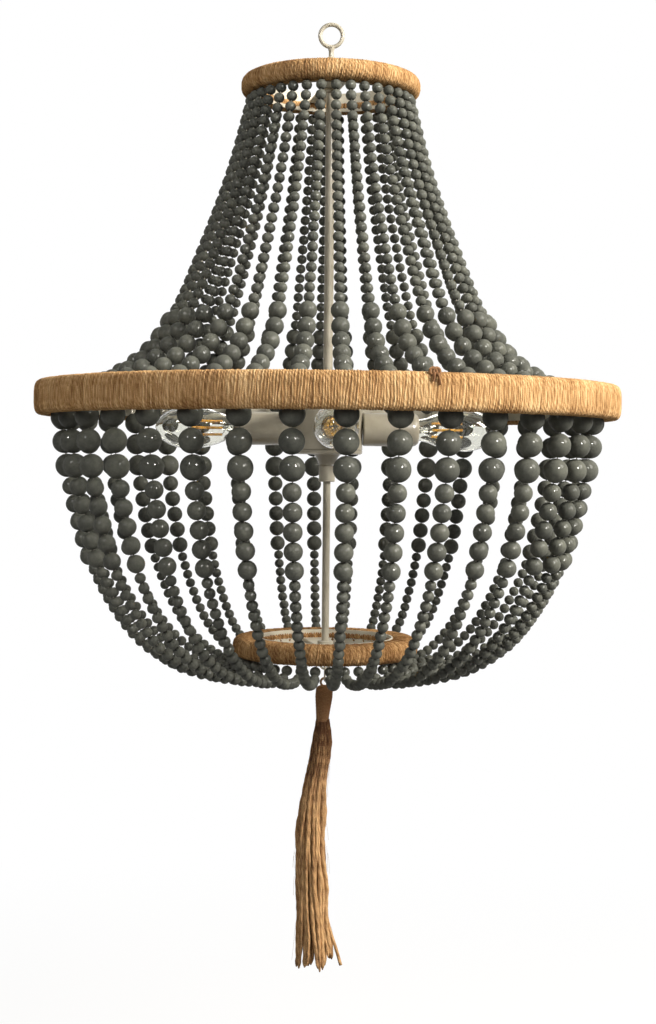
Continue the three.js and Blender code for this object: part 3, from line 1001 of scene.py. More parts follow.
@dataclass
class WoundRing(Assembly):
    """A hoop wound closely with jute twine, which may lap over one edge of the band inside it."""

    place: str
    pitch: float = 2.7 * MM
    ply_pitch: float = 6.0 * MM
    squareness: float = 3.4
    slant: float = 0.9 * MM
    depth: float = 0.75 * MM
    section_points: int = 22
    samples: tuple = (0.0, 0.8, 1.0, 0.8)
    tone_range: tuple = (0.3, 1.0)
    swell: float = 0.35
    drift: float = 0.3
    lap: float = 0.0
    lap_side: Side = Side.TOP
    lap_rate: float = 2.0
    facet_rise: float = 0.8 * MM
    seat: float = 0.2 * MM

    def build(self, shop: Workshop) -> None:
        """Makes the winding.

        Args:
            shop: The workshop.
        """
        dice = shop.dice
        node = f"{self.place}_jute_ring"
        outer = shop.reach(node)[1] - self.facet_rise
        inner = shop.reach(f"{self.place}_frame")[1] + self.seat
        low, high = shop.heights(node)
        centre = Vector(((inner + outer) / 2, 0.0, (high + low) / 2))
        section = self._section(centre, (outer - inner) / 2, (high - low) / 2)
        turns = round(FULL_TURN * outer / self.pitch)
        per_turn = len(self.samples)
        steps = turns * per_turn
        swell = [dice.uniform(-self.swell, self.swell) for _ in range(turns)]
        tones = [dice.uniform(*self.tone_range) for _ in range(turns)]
        drift, bend = (
            [dice.uniform(-self.drift, self.drift) * self.pitch for _ in range(turns)] for _ in range(2)
        )
        plies = round(self._perimeter(section) / self.ply_pitch)

        def place(step: int, corner: int) -> tuple[Vector, float]:
            """The point and tone of one sample of a turn at one corner of the section.

            Args:
                step: The sample's number round the hoop.
                corner: The corner's number round the section.

            Returns:
                The point and its tone.
            """
            turn, sample = divmod(step % steps, per_turn)
            point, normal = section[corner % self.section_points]
            ridge = self.samples[sample]
            lowered = point - normal * self.depth * (1 - ridge - swell[turn] * ridge)
            rise = (point.z - centre.z) / (high - low) * 2
            aside = self.slant * rise + drift[turn] * (1 - rise**2) + bend[turn] * math.sin(math.pi * rise)
            # The tone drops to nothing in the groove between turns, as painted shade.
            return turned(FULL_TURN * step / steps + aside / point.x) @ lowered, ridge * tones[turn]

        def unwrap(step: int, corner: int) -> tuple[float, float]:
            """The UV coordinates: the number of the turn, then plies along it."""
            return step / per_turn, corner / self.section_points * plies

        shape = Shape()
        shape.ring_grid(steps, self.section_points, place, unwrap)
        shop.piece(f"{self.place}_ring_winding", shape, Finishes.WRAP, nodes=[node], crease=None)

    def _section(self, centre: Vector, half_width: float, half_height: float) -> list[tuple[Vector, Vector]]:
        """The rounded section of the winding.

        Args:
            centre: Its middle.
            half_width: Half its width.
            half_height: Half its height.

        Returns:
            Its points with their outward normals.
        """
        rows = []
        for k in range(self.section_points):
            angle = FULL_TURN * (k + 0.5) / self.section_points
            across, up = (signed_power(part, 2 / self.squareness) for part in (math.cos(angle), math.sin(angle)))
            aside, rise = (signed_power(part, self.squareness - 1) for part in (across, up))
            normal = Vector((aside / half_width, 0.0, rise / half_height)).normalized()
            edge = smooth_step(0.5 + self.lap_rate * up * self.lap_side.value)
            over = self.lap * edge * smooth_step(-self.lap_rate * across)
            rows.append((centre + Vector((half_width * across - over, 0.0, half_height * up)), normal))
        return rows

    @staticmethod
    def _perimeter(section: Sequence[tuple[Vector, Vector]]) -> float:
        """The length round a section."""
        points = [point for point, _ in section]
        return sum((b - a).length for a, b in zip(points, points[1:] + points[:1]))


@dataclass
class RingKnot(Assembly):
    """The knot that ties off the twine at the main ring's upper edge: two bows and two ends."""

    turn: float = math.radians(18.0)
    twine: float = 1.4 * MM
    sides: int = 8
    bow: float = 3.2 * MM
    bow_leans: tuple = (-0.5, 0.4)
    bow_shift: float = 0.008
    bow_front: float = 0.4 * MM
    bow_rise: float = 0.35
    bow_tone: float = 0.3
    tail: float = 13.0 * MM
    tail_shifts: tuple = (-1.6 * MM, 2.4 * MM)
    tail_thickness: float = 0.9
    tail_tone: float = 0.25
    inset: float = 3.0 * MM

    def build(self, shop: Workshop) -> None:
        """Makes the bows and the ends as one piece.

        Args:
            shop: The workshop.
        """
        reach = shop.reach("main_jute_ring")[1] - self.inset
        edge = Vector((0.0, -reach, shop.heights("main_jute_ring")[1] - self.inset / 2))
        shape = Shape()
        for number, lean in enumerate(self.bow_leans):
            line = [
                turned(self.turn + lean * self.bow_shift) @ (edge + Matrix.Rotation(lean, 3, "Y") @ point)
                for point in circle(self.bow, 18, Vector((0.0, -self.bow_front, self.bow * self.bow_rise)))
            ]
            shape.tube(line, self.twine, self.sides, closed=True, tone=self.bow_tone, number=number)
        for number, aside in enumerate(self.tail_shifts):
            course = Course([
                Vector((0.0, 0.0, 0.0)),
                Vector((aside, -self.inset * 0.95, -self.tail * 0.15)),
                Vector((aside * 1.6, -self.inset * 1.05, -self.tail * (0.6 + 0.2 * number))),
            ])
            line = [turned(self.turn) @ (edge + point) for point in course.points(12)]
            thickness = self.twine * self.tail_thickness
            shape.tube(line, thickness, self.sides, tone=self.tail_tone, number=len(self.bow_leans) + number)
        shop.piece("main_ring_knot", shape, Finishes.TWINE, crease=None)


@dataclass
class HoopFrame(Assembly):
    """A painted band with flat bars welded across it and a hole in it for each strand's wire."""

    place: str
    thickness: float
    bar_thickness: float
    bar_turns: tuple
    hole_side: Side
    hole_depth: float
    bar_width: float = 20.0 * MM
    ease: float = 0.3 * MM
    holes: int = 36
    hole_radius: float = 1.5 * MM
    hole_corners: int = 8
    weld: float = 0.01 * MM

    def build(self, shop: Workshop) -> None:
        """Makes the band and its bars as one welded piece.

        Args:
            shop: The workshop.
        """
        node = f"{self.place}_frame"
        radius = shop.reach(node)[1]
        low, high = shop.heights(node)
        cell = self._cell(radius, high - low)
        middle = Matrix.Translation((0.0, 0.0, (low + high) / 2))
        shape = Shape()
        for number in range(self.holes):
            shape.copy(cell, middle @ turned(FRONT_TURN + FULL_TURN * number / self.holes))
        bmesh.ops.remove_doubles(shape.bm, verts=shape.bm.verts, dist=self.weld)
        for turn in self.bar_turns:
            size = Vector((self.bar_width, 2 * radius - self.thickness, self.bar_thickness))
            shape.block(size, middle @ turned(turn), self.ease)
        shop.piece(f"{self.place}_band", shape, Finishes.LIT_BAND_PAINT, nodes=[node])

    def _cell(self, radius: float, height: float) -> bpy.types.Mesh:
        """One strand's share of the band, made flat round its hole and then rolled.

        Args:
            radius: The band's outer radius.
            height: The band's height.

        Returns:
            The cell at the front, centred on Z = 0.
        """
        half = math.pi * radius / self.holes
        side = self.hole_side.value
        centre = side * (height / 2 - self.hole_depth)
        shape = Shape()
        bm = shape.bm
        hole = bmesh.ops.create_circle(bm, segments=self.hole_corners, radius=self.hole_radius)["verts"]
        rim = bmesh.ops.create_circle(bm, segments=self.hole_corners, radius=1.0)["verts"]
        for vertex in rim:
            vertex.co.x = half * round(vertex.co.x)
            vertex.co.y = self.hole_depth * round(vertex.co.y)
        bmesh.ops.bridge_loops(bm, edges=list({edge for vertex in (*hole, *rim) for edge in vertex.link_edges}))
        foot = [edge for edge in bm.edges if all(v.co.y * side < -0.9 * self.hole_depth for v in edge.verts)]
        drawn = bmesh.ops.extrude_edge_only(bm, edges=foot)["geom"]
        for vertex in (item for item in drawn if isinstance(item, bmesh.types.BMVert)):
            vertex.co.y = -side * (height - self.hole_depth)
        walls = bmesh.ops.extrude_face_region(bm, geom=list(bm.faces))["geom"]
        for vertex in (item for item in walls if isinstance(item, bmesh.types.BMVert)):
            vertex.co.z = self.thickness
        joints = [f for f in bm.faces if all(abs(abs(v.co.x) - half) < self.weld for v in f.verts)]
        bmesh.ops.delete(bm, geom=joints, context="FACES")
        for vertex in bm.verts:
            across, up, deep = vertex.co
            angle, reach = across / radius, radius - deep
            vertex.co = (reach * math.sin(angle), -reach * math.cos(angle), centre + up)
        return shape.to_mesh(f"{self.place}_band_cell")


@dataclass
class Spindle(Assembly):
    """The stem, its coupling, the hanging loop and the eye for the tassel: turned pieces on one axis."""

    upper_radius: float = 5.0 * MM
    lower_radius: float = 3.9 * MM
    flange_radius: float = 8.0 * MM
    flange_height: float = 4.0 * MM
    flange_ease: float = 0.5 * MM
    bar_half: float = 1.25 * MM
    gap: float = 0.3 * MM
    bore_play: float = 0.1 * MM
    coupling_ease: float = 0.8 * MM
    loop_radius: float = 11.8 * MM
    loop_wire: float = 2.2 * MM
    collar_radius: float = 7.4 * MM
    collar_drop: float = 15.0 * MM
    neck_shape: tuple = ((5.9, -13.0), (2.7, -10.0), (2.6, -5.0), (3.9, -0.5), (2.5, 0.6), (0.0, 0.8))
    nut_radius: float = 8.0 * MM
    nut_ease: float = 0.6 * MM
    nut_dome: tuple = ((6.8, 3.5), (4.0, 0.8), (0.0, 0.0))
    eye_radius: float = 4.8 * MM
    eye_wire: float = 1.2 * MM
    link_wire: float = 1.0 * MM
    link_bend: float = 4.0 * MM
    link_steps: int = 32
    segments: int = 40

    def build(self, shop: Workshop) -> None:
        """Makes each piece.

        Args:
            shop: The workshop.
        """
        top = shop.middle("top_frame") - self.bar_half - self.gap
        bottom = shop.middle("bottom_frame") + self.bar_half + self.gap
        self._rod(shop, "upper", self.upper_radius, top - self.flange_height)
        self._rod(shop, "lower", self.lower_radius, bottom)
        self._coupling(shop)
        self._loop(shop)
        self._eye(shop)
        self._link(shop)

    def _rod(self, shop: Workshop, place: str, radius: float, foot: float) -> None:
        """Makes one length of the stem, with the flange that bears on a bar.

        Args:
            shop: The workshop.
            place: Which length it is.
            radius: Its radius.
            foot: The height of the flange's underside.
        """
        node = f"stem_{place}"
        low, high = shop.heights(node)
        wide, ease, head = self.flange_radius, self.flange_ease, foot + self.flange_height
        profile = [
            (0.0, low),
            (radius, low),
            (radius, foot),
            (wide - ease, foot),
            (wide, foot + ease),
            (wide, head - ease),
            (wide - ease, head),
            (radius, head),
            (radius, high),
            (0.0, high),
        ]
        shop.turned_piece(f"{place}_rod", profile, self.segments, Finishes.PAINT, nodes=[node])

    def _coupling(self, shop: Workshop) -> None:
        """Makes the sleeve that joins the two lengths, bored in two steps.

        Args:
            shop: The workshop.
        """
        node = "stem_coupling"
        low, high = shop.heights(node)
        radius, ease = shop.reach(node)[1], self.coupling_ease
        step = shop.heights("stem_lower")[1]
        narrow, wide = self.lower_radius + self.bore_play, self.upper_radius + self.bore_play
        profile = [
            (narrow, low),
            (radius - ease, low),
            (radius, low + ease),
            (radius, high - ease),
            (radius - ease, high),
            (wide, high),
            (wide, step),
            (narrow, step),
            (narrow, low),
        ]
        shop.turned_piece("rod_sleeve", profile, self.segments, Finishes.PAINT, nodes=[node])

    def _loop(self, shop: Workshop) -> None:
        """Makes the ceiling loop on its neck and collar.

        Args:
            shop: The workshop.
        """
        low = shop.heights("hanging_loop")[0]
        neck_top = self.loop_wire - 2 * self.loop_radius
        profile = [
            (self.upper_radius + self.bore_play, low),
            (self.collar_radius, low),
            (self.collar_radius, neck_top - self.collar_drop),
            *profile_at(self.neck_shape, 0.0, neck_top),
        ]
        shape = Shape()
        shape.lathe(profile, self.segments)
        shape.ring(self.loop_radius, self.loop_wire, self.loop_wire - self.loop_radius, 56, 12)
        shop.piece("ceiling_loop", shape, Finishes.PAINT, nodes=["hanging_loop"])

    def _eye(self, shop: Workshop) -> None:
        """Makes the nut that closes the stem, with the eye below it.

        Args:
            shop: The workshop.
        """
        low, high = shop.heights("tassel_eye")
        nut_low = low + 2 * self.eye_radius + self.eye_wire
        nut, ease = self.nut_radius, self.nut_ease
        profile = [
            (self.lower_radius + self.bore_play, high),
            (nut - ease, high),
            (nut, high - ease),
            (nut, (high + nut_low) / 2),
            *profile_at(self.nut_dome, 0.0, nut_low),
        ]
        shape = Shape()
        shape.lathe(profile, self.segments)
        shape.ring(self.eye_radius, self.eye_wire, nut_low - self.eye_radius, 32, 10)
        shop.piece("nut_and_eye", shape, Finishes.PAINT, nodes=["tassel_eye"])

    def _link(self, shop: Workshop) -> None:
        """Makes the long link between the eye and the tassel.

        Args:
            shop: The workshop.
        """
        low, high = shop.heights("tassel_link")
        rise = (high - low) / 2 - self.link_wire - self.link_bend
        middle = (high + low) / 2
        line = []
        for k in range(self.link_steps):
            angle = FULL_TURN * (k + 0.5) / self.link_steps
            lift = math.copysign(rise, math.sin(angle)) + self.link_bend * math.sin(angle)
            line.append(Vector((0.0, self.link_bend * math.cos(angle), middle + lift)))
        shape = Shape()
        shape.tube(line, self.link_wire, 10, closed=True)
        shop.piece("eye_link", shape, Finishes.PAINT, body="tassel_link_body", nodes=["tassel_link"])


@dataclass
class Hub(Assembly):
    """The drum in the middle, with a cover and a coned boss below it."""

    bore: float = 5.2 * MM
    wall: float = 1.8 * MM
    rounding: float = 3.0 * MM
    rounding_steps: int = 6
    rim_ease: float = 0.4 * MM
    cover_thickness: float = 4.4 * MM
    cover_edge: tuple = ((-2.2, 0.0), (-0.7, 0.7), (0.0, 2.2))
    cone_radius: float = 13.5 * MM
    cone_foot: tuple = ((-1.5, -2.5), (0.5, -0.4), (3.0, 0.0))
    cone_neck: float = 8.5 * MM
    cone_lip: tuple = ((0.0, 0.0), (0.8, 3.0))
    segments: int = 64

    def build(self, shop: Workshop) -> None:
        """Makes the drum and its cover.

        Args:
            shop: The workshop.
        """
        radius = shop.reach("hub_body")[1]
        self._drum(shop, radius)
        self._cover(shop, radius)

    def _drum(self, shop: Workshop, radius: float) -> None:
        """Makes the drum, open below.

        Args:
            shop: The workshop.
            radius: The drum's outer radius.
        """
        low, high = shop.heights("hub_body")
        corner, inside = self.rounding, radius - self.wall
        turns = (math.pi / 2 * k / self.rounding_steps for k in range(self.rounding_steps + 1))
        profile = [
            (self.bore, high - self.wall),
            (inside, high - self.wall),
            (inside, low),
            (radius - self.rim_ease, low),
            (radius, low + self.rim_ease),
            *((radius - corner + corner * math.cos(a), high - corner + corner * math.sin(a)) for a in turns),
            (self.bore, high),
            (self.bore, high - self.wall),
        ]
        shop.turned_piece("hub_drum", profile, self.segments, Finishes.ENAMEL, nodes=["hub_body"])

    def _cover(self, shop: Workshop, radius: float) -> None:
        """Makes the cover with its boss.

        Args:
            shop: The workshop.
            radius: The drum's outer radius.
        """
        low, high = shop.heights("hub_cover")
        base = high - self.cover_thickness
        profile = [
            (self.bore, high),
            (self.bore, low),
            *profile_at(self.cone_lip, self.cone_neck, low),
            *profile_at(self.cone_foot, self.cone_radius, base),
            *profile_at(self.cover_edge, radius, base),
            (radius, high),
            (self.bore, high),
        ]
        shop.turned_piece("hub_lower_cover", profile, self.segments, Finishes.ENAMEL, nodes=["hub_cover"])


@dataclass
class Lamp(Assembly):
    """One lamp holder with its bulb, on an arm that points out from the hub."""

    number: int
    gap: float = 0.3 * MM
    holder_radius: float = 17.5 * MM
    holder_length: float = 58.7 * MM
    holder_bore: float = 12.6 * MM
    foot_ease: float = 1.2 * MM
    mouth_shape: tuple = ((0.0, -7.0), (-0.3, -4.8), (-1.1, -2.6), (-2.3, -1.0), (-3.8, -0.1))
    mouth_lip: float = 0.8 * MM
    mouth_depth: float = 12.0 * MM
    socket_radius: float = 7.2 * MM
    socket_depth: float = 24.0 * MM
    nipple_radius: float = 4.8 * MM
    nipple_length: float = 6.7 * MM
    glass_length: float = 96.0 * MM
    neck_radius: float = 11.4 * MM
    glass_wall: float = 0.7 * MM
    glass_rows: int = 36
    contact_shape: tuple = ((0.0, -24.0), (3.0, -24.0), (3.0, -22.0))
    thread_turns: int = 12
    thread_depth: float = 20.5
    thread_pitch: float = 1.6
    thread_radii: tuple = (6.5, 6.9)
    collar_shape: tuple = ((10.2, 3.0), (10.2, 9.0), (0.0, 10.0))
    mount_shape: tuple = (
        (0.0, 10.3), (5.0, 10.3), (3.6, 14.0), (2.4, 20.0), (2.8, 25.0), (1.2, 29.0), (0.0, 29.0),
    )
    sticks: int = 6
    stick_ring: float = 8.0 * MM
    stick_flare: float = 1.05
    stick_radius: float = 1.3 * MM
    stick_start: float = 26.0 * MM
    stick_end: float = 58.0 * MM
    stick_steps: int = 6
    lead_radius: float = 0.3 * MM
    lead_reach: float = 4.0 * MM
    segments: int = 48
    glass_shares: tuple = (
        (0.0, 1.0), (0.12, 1.0), (0.2, 1.1), (0.3, 1.42), (0.42, 1.74), (0.54, 1.92), (0.64, 1.955),
        (0.74, 1.85), (0.83, 1.61), (0.9, 1.29), (0.95, 0.94), (0.983, 0.52), (1.0, 0.0),
    )

    def build(self, shop: Workshop) -> None:
        """Makes the holder, the glass, the cap, the filaments and their leads.

        Args:
            shop: The workshop.
        """
        low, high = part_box("lamp_holder_1")
        back = shop.reach("hub_body")[1] + self.gap
        mouth = back + self.holder_length
        start = mouth - self.mouth_depth + self.gap
        angle = FRONT_TURN + (self.number - 1) * math.pi / 2
        level = Matrix.Translation((0, 0, (low.z + high.z) / 2))
        place = level @ turned(angle) @ Matrix.Rotation(math.pi / 2, 4, "X")
        self._holder(shop, place, back, mouth)
        self._glass(shop, place, start)
        self._cap(shop, place, start)
        self._filaments(shop, place, start)

    @property
    def body(self) -> str:
        """The body that the bulb rides on."""
        return f"bulb_{self.number}_body"

    def _holder(self, shop: Workshop, place: Matrix, back: float, mouth: float) -> None:
        """Makes the sleeve with its nipple and its rounded mouth.

        Args:
            shop: The workshop.
            place: The lamp's own axes, with Z out along its arm.
            back: How far out the holder's back is.
            mouth: How far out its mouth is.
        """
        radius, floor = self.holder_radius, mouth - self.mouth_depth
        profile = [
            (0.0, back - self.nipple_length),
            (self.nipple_radius, back - self.nipple_length),
            (self.nipple_radius, back),
            (radius - self.foot_ease, back),
            (radius, back + self.foot_ease),
            *profile_at(self.mouth_shape, radius, mouth),
            (self.holder_bore, mouth - self.mouth_lip),
            (self.holder_bore, floor),
            (self.socket_radius, floor),
            (self.socket_radius, floor - self.socket_depth),
            (0.0, floor - self.socket_depth),
        ]
        name, node = f"holder_{self.number}", f"lamp_holder_{self.number}"
        shop.turned_piece(name, profile, self.segments, Finishes.ENAMEL, place, nodes=[node])

    def _glass(self, shop: Workshop, place: Matrix, start: float) -> None:
        """Makes the bulb's envelope as a thin shell.

        Args:
            shop: The workshop.
            place: The lamp's own axes, with Z out along its arm.
            start: How far out the glass starts.
        """
        wall, length = self.glass_wall, self.glass_length
        course = Course([
            Vector((self.neck_radius * width, 0.0, start + length * share)) for share, width in self.glass_shares
        ])
        outer = [(max(p.x, 0.0), p.z) for p in course.points(self.glass_rows, 0.99999)[:-1]]
        outer.append((0.0, start + length))
        inner = [(max(r - wall, 0.0), z - wall / length * (z - start)) for r, z in reversed(outer)]
        shell = [*outer, *inner, outer[0]]
        name, riding = f"bulb_glass_{self.number}", {"body": self.body, "nodes": [f"bulb_{self.number}"]}
        shop.turned_piece(name, shell, self.segments, Finishes.GLASS, place, crease=None, **riding)

    def _cap(self, shop: Workshop, place: Matrix, start: float) -> None:
        """Makes the screw cap with its contact, and the glass mount that carries the filaments.

        Args:
            shop: The workshop.
            place: The lamp's own axes, with Z out along its arm.
            start: How far out the glass starts.
        """
        root, crest = self.thread_radii
        thread = []
        for turn in range(self.thread_turns):
            level = self.thread_pitch * turn - self.thread_depth
            thread += [(root, level), (crest, level + self.thread_pitch / 2)]
        cap = profile_at([*self.contact_shape, *thread, *self.collar_shape], 0.0, start)
        mount = profile_at(self.mount_shape, 0.0, start)
        shop.turned_piece(f"bulb_cap_{self.number}", cap, 32, Finishes.BRASS, place, body=self.body)
        shop.turned_piece(f"bulb_mount_{self.number}", mount, 24, Finishes.GLASS, place, body=self.body)

    def _filaments(self, shop: Workshop, place: Matrix, start: float) -> None:
        """Makes the ring of filament sticks and the leads that hold them.

        Args:
            shop: The workshop.
            place: The lamp's own axes, with Z out along its arm.
            start: How far out the glass starts.
        """
        sticks, leads = Shape(), Shape()
        root = place @ Vector((0.0, 0.0, start + self.stick_start - self.lead_reach))
        crown = place @ Vector((0.0, 0.0, start + self.stick_end + self.lead_reach))
        for k in range(self.sticks):
            around = FULL_TURN * k / self.sticks
            aside = Vector((math.cos(around), math.sin(around), 0.0)) * self.stick_ring
            foot = place @ (aside + Vector((0.0, 0.0, start + self.stick_start)))
            tip = place @ (aside * self.stick_flare + Vector((0.0, 0.0, start + self.stick_end)))
            stick = [foot.lerp(tip, step / self.stick_steps) for step in range(self.stick_steps + 1)]
            sticks.tube(stick, self.stick_radius, 8)
            leads.tube([root, foot.lerp(root, 0.3), foot], self.lead_radius, 6)
            leads.tube([tip, tip.lerp(crown, 0.7), crown], self.lead_radius, 6)
        shop.piece(f"filaments_{self.number}", sticks, Finishes.FILAMENT, self.body)
        shop.piece(f"filament_leads_{self.number}", leads, Finishes.WIRE, self.body)


@dataclass(frozen=True)
class Seat:
    """Where one bead sits on its strand."""

    point: Vector
    along: Vector
    diameter: float
    share: float


@dataclass
class BeadStrands(Assembly):
    """The strands of beads, each on one wire from the top ring to the main ring and on to the bottom ring."""

    count: int = 36
    small: float = 10.6 * MM
    medium: float = 18.0 * MM
    large: float = 24.0 * MM
    size_range: tuple = (0.97, 1.0)
    play: float = 0.2 * MM
    upper_mediums: int = 8
    lower_larges: int = 3
    lower_mediums: int = 5
    upper_bare: float = 7.0 * MM
    lower_bare: float = 10.0 * MM
    end_gap: float = 0.3 * MM
    wire: float = 0.6 * MM
    wire_steps: int = 48
    hitch_inset: float = 3.1 * MM
    sway: float = 1.3 * MM
    jog: float = 0.25 * MM
    small_spread: float = 1.05
    bore_share: float = 0.45
    bore_end: float = 0.42
    upper_shares: tuple = (
        (0.0, 0.0), (0.105, 0.25), (0.248, 0.5), (0.398, 0.72), (0.555, 0.86), (0.79, 0.955), (1.0, 1.0),
    )
    lower_shares: tuple = (
        (0.0, 0.0), (0.038, 0.077), (0.054, 0.2), (0.118, 0.444), (0.222, 0.679), (0.396, 0.887),
        (0.52, 0.971), (0.665, 1.03), (0.833, 1.052), (0.94, 1.05), (0.992, 1.03), (1.0, 1.0),
    )

    def build(self, shop: Workshop) -> None:
        """Makes every strand, and the wires as one piece.

        Args:
            shop: The workshop.
        """
        inner = shop.reach("main_frame")[1] - self.hitch_inset
        hitch = Vector((inner, 0.0, shop.middle("main_jute_ring")))
        upper = self._course(self.upper_shares, self._end(shop, "top_jute_ring"), hitch)
        lower = self._course(self.lower_shares, hitch, self._end(shop, "bottom_jute_ring"))
        seats = self._seats(upper, self._upper_sizes(upper), self.end_gap, upper.length - self.upper_bare)
        seats += self._seats(lower, self._lower_sizes(lower), self.lower_bare, lower.length - self.end_gap)
        templates = {
            self.small: self._bead("small_bead", 14, 9, 0.15, self.small_spread),
            self.medium: self._bead("medium_bead", 22, 14, 0.1),
            self.large: self._bead("large_bead", 24, 16, 0.08),
        }
        wires = Shape()
        for number in range(self.count):
            turn = turned(FRONT_TURN + FULL_TURN * number / self.count - math.pi / 2)
            self._strand(shop, number + 1, turn, seats, templates)
            for course in (upper, lower):
                wires.tube([turn @ point for point in course.points(self.wire_steps, 0.9999)], self.wire, 5)
        shop.piece("strand_wires", wires, Finishes.WIRE)
        log.info("%d strands of %d beads", self.count, len(seats))

    def _strand(
        self,
        shop: Workshop,
        number: int,
        turn: Matrix,
        seats: Sequence[Seat],
        templates: dict[float, bpy.types.Mesh],
    ) -> None:
        """Makes the beads of one strand.

        Args:
            shop: The workshop.
            number: The strand's number.
            turn: Its turn about the axis.
            seats: Where its beads sit.
            templates: A ball for each diameter.
        """
        dice = shop.dice
        sway = dice.uniform(-1.0, 1.0) * self.sway
        beads = Shape()
        for seat in seats:
            aside = math.sin(math.pi * min(1.0, seat.share)) * sway + dice.uniform(-1.0, 1.0) * self.jog
            facing = seat.along.to_track_quat("Z", "Y").to_matrix().to_4x4()
            place = turn @ Matrix.Translation(seat.point + Vector((0.0, aside, 0.0))) @ facing
            size = seat.diameter * dice.uniform(*self.size_range)
            spun = turned(dice.uniform(0, math.pi)) @ Matrix.Scale(size, 4)
            beads.copy(templates[seat.diameter], place @ spun, dice.random())
        node = f"bead_strand_{number:02d}"
        shop.piece(f"beads_{number:02d}", beads, Finishes.LACQUER, nodes=[node], crease=None)

    def _bead(self, name: str, sides: int, rows: int, hole: float, spread: float = 1.0) -> bpy.types.Mesh:
        """A turned ball one unit tall, with a flat round each end of its hole.

        Args:
            name: The mesh's name.
            sides: Its sides round the hole.
            rows: Its rows of faces from hole to hole.
            hole: The radius of the flat at each end.
            spread: How much wider than tall it is.

        Returns:
            The ball.
        """
        first = math.asin(2 * hole)
        turns = (first + (math.pi - 2 * first) * row / rows for row in range(rows + 1))
        ball = [(math.sin(a) / 2 * spread, math.cos(a) / 2) for a in turns]
        bore = hole * self.bore_share
        shape = Shape()
        shape.lathe([(bore, self.bore_end), *ball, (bore, -self.bore_end)], sides)
        return shape.to_mesh(name)

    @staticmethod
    def _end(shop: Workshop, ring: str) -> Vector:
        """Where a strand ends, under the middle of a ring's winding."""
        return Vector((sum(shop.reach(ring)) / 2, 0.0, shop.heights(ring)[0]))

    @staticmethod
    def _course(shares: Pairs, start: Vector, end: Vector) -> Course:
        """The course of a strand between two points, from its shares of the way out and down."""
        way = end - start
        return Course([start + Vector((way.x * out, 0.0, way.z * down)) for out, down in shares])

    def _upper_sizes(self, course: Course) -> list[float]:
        """The bead diameters of the upper run: small beads, then the medium ones.

        Args:
            course: The course of the upper run.

        Returns:
            The diameters in order.
        """
        room = course.length - self.upper_bare - self.upper_mediums * (self.medium + self.play)
        smalls = math.floor(room / (self.small + self.play))
        return [self.small] * smalls + [self.medium] * self.upper_mediums

    def _lower_sizes(self, course: Course) -> list[float]:
        """The bead diameters of the lower run: large beads, medium ones, then small ones to the end.

        Args:
            course: The course of the lower run.

        Returns:
            The diameters in order.
        """
        sizes = [self.large] * self.lower_larges + [self.medium] * self.lower_mediums
        room = course.length - self.lower_bare - sum(size + self.play for size in sizes)
        return sizes + [self.small] * math.floor(room / (self.small + self.play))

    @staticmethod
    def _seats(course: Course, sizes: Sequence[float], start: float, end: float) -> list[Seat]:
        """Seats beads along a course, spread evenly from its start to its end.

        Args:
            course: The course of the wire.
            sizes: The bead diameters in order.
            start: Where the first bead starts.
            end: Where the last bead ends.

        Returns:
            The seats.
        """
        play = (end - start - sum(sizes)) / (len(sizes) - 1)
        seats = []
        distance = start
        for size in sizes:
            centre = distance + size / 2
            seats.append(Seat(*course.at(centre), size, centre / course.length))
            distance += size + play
        return seats


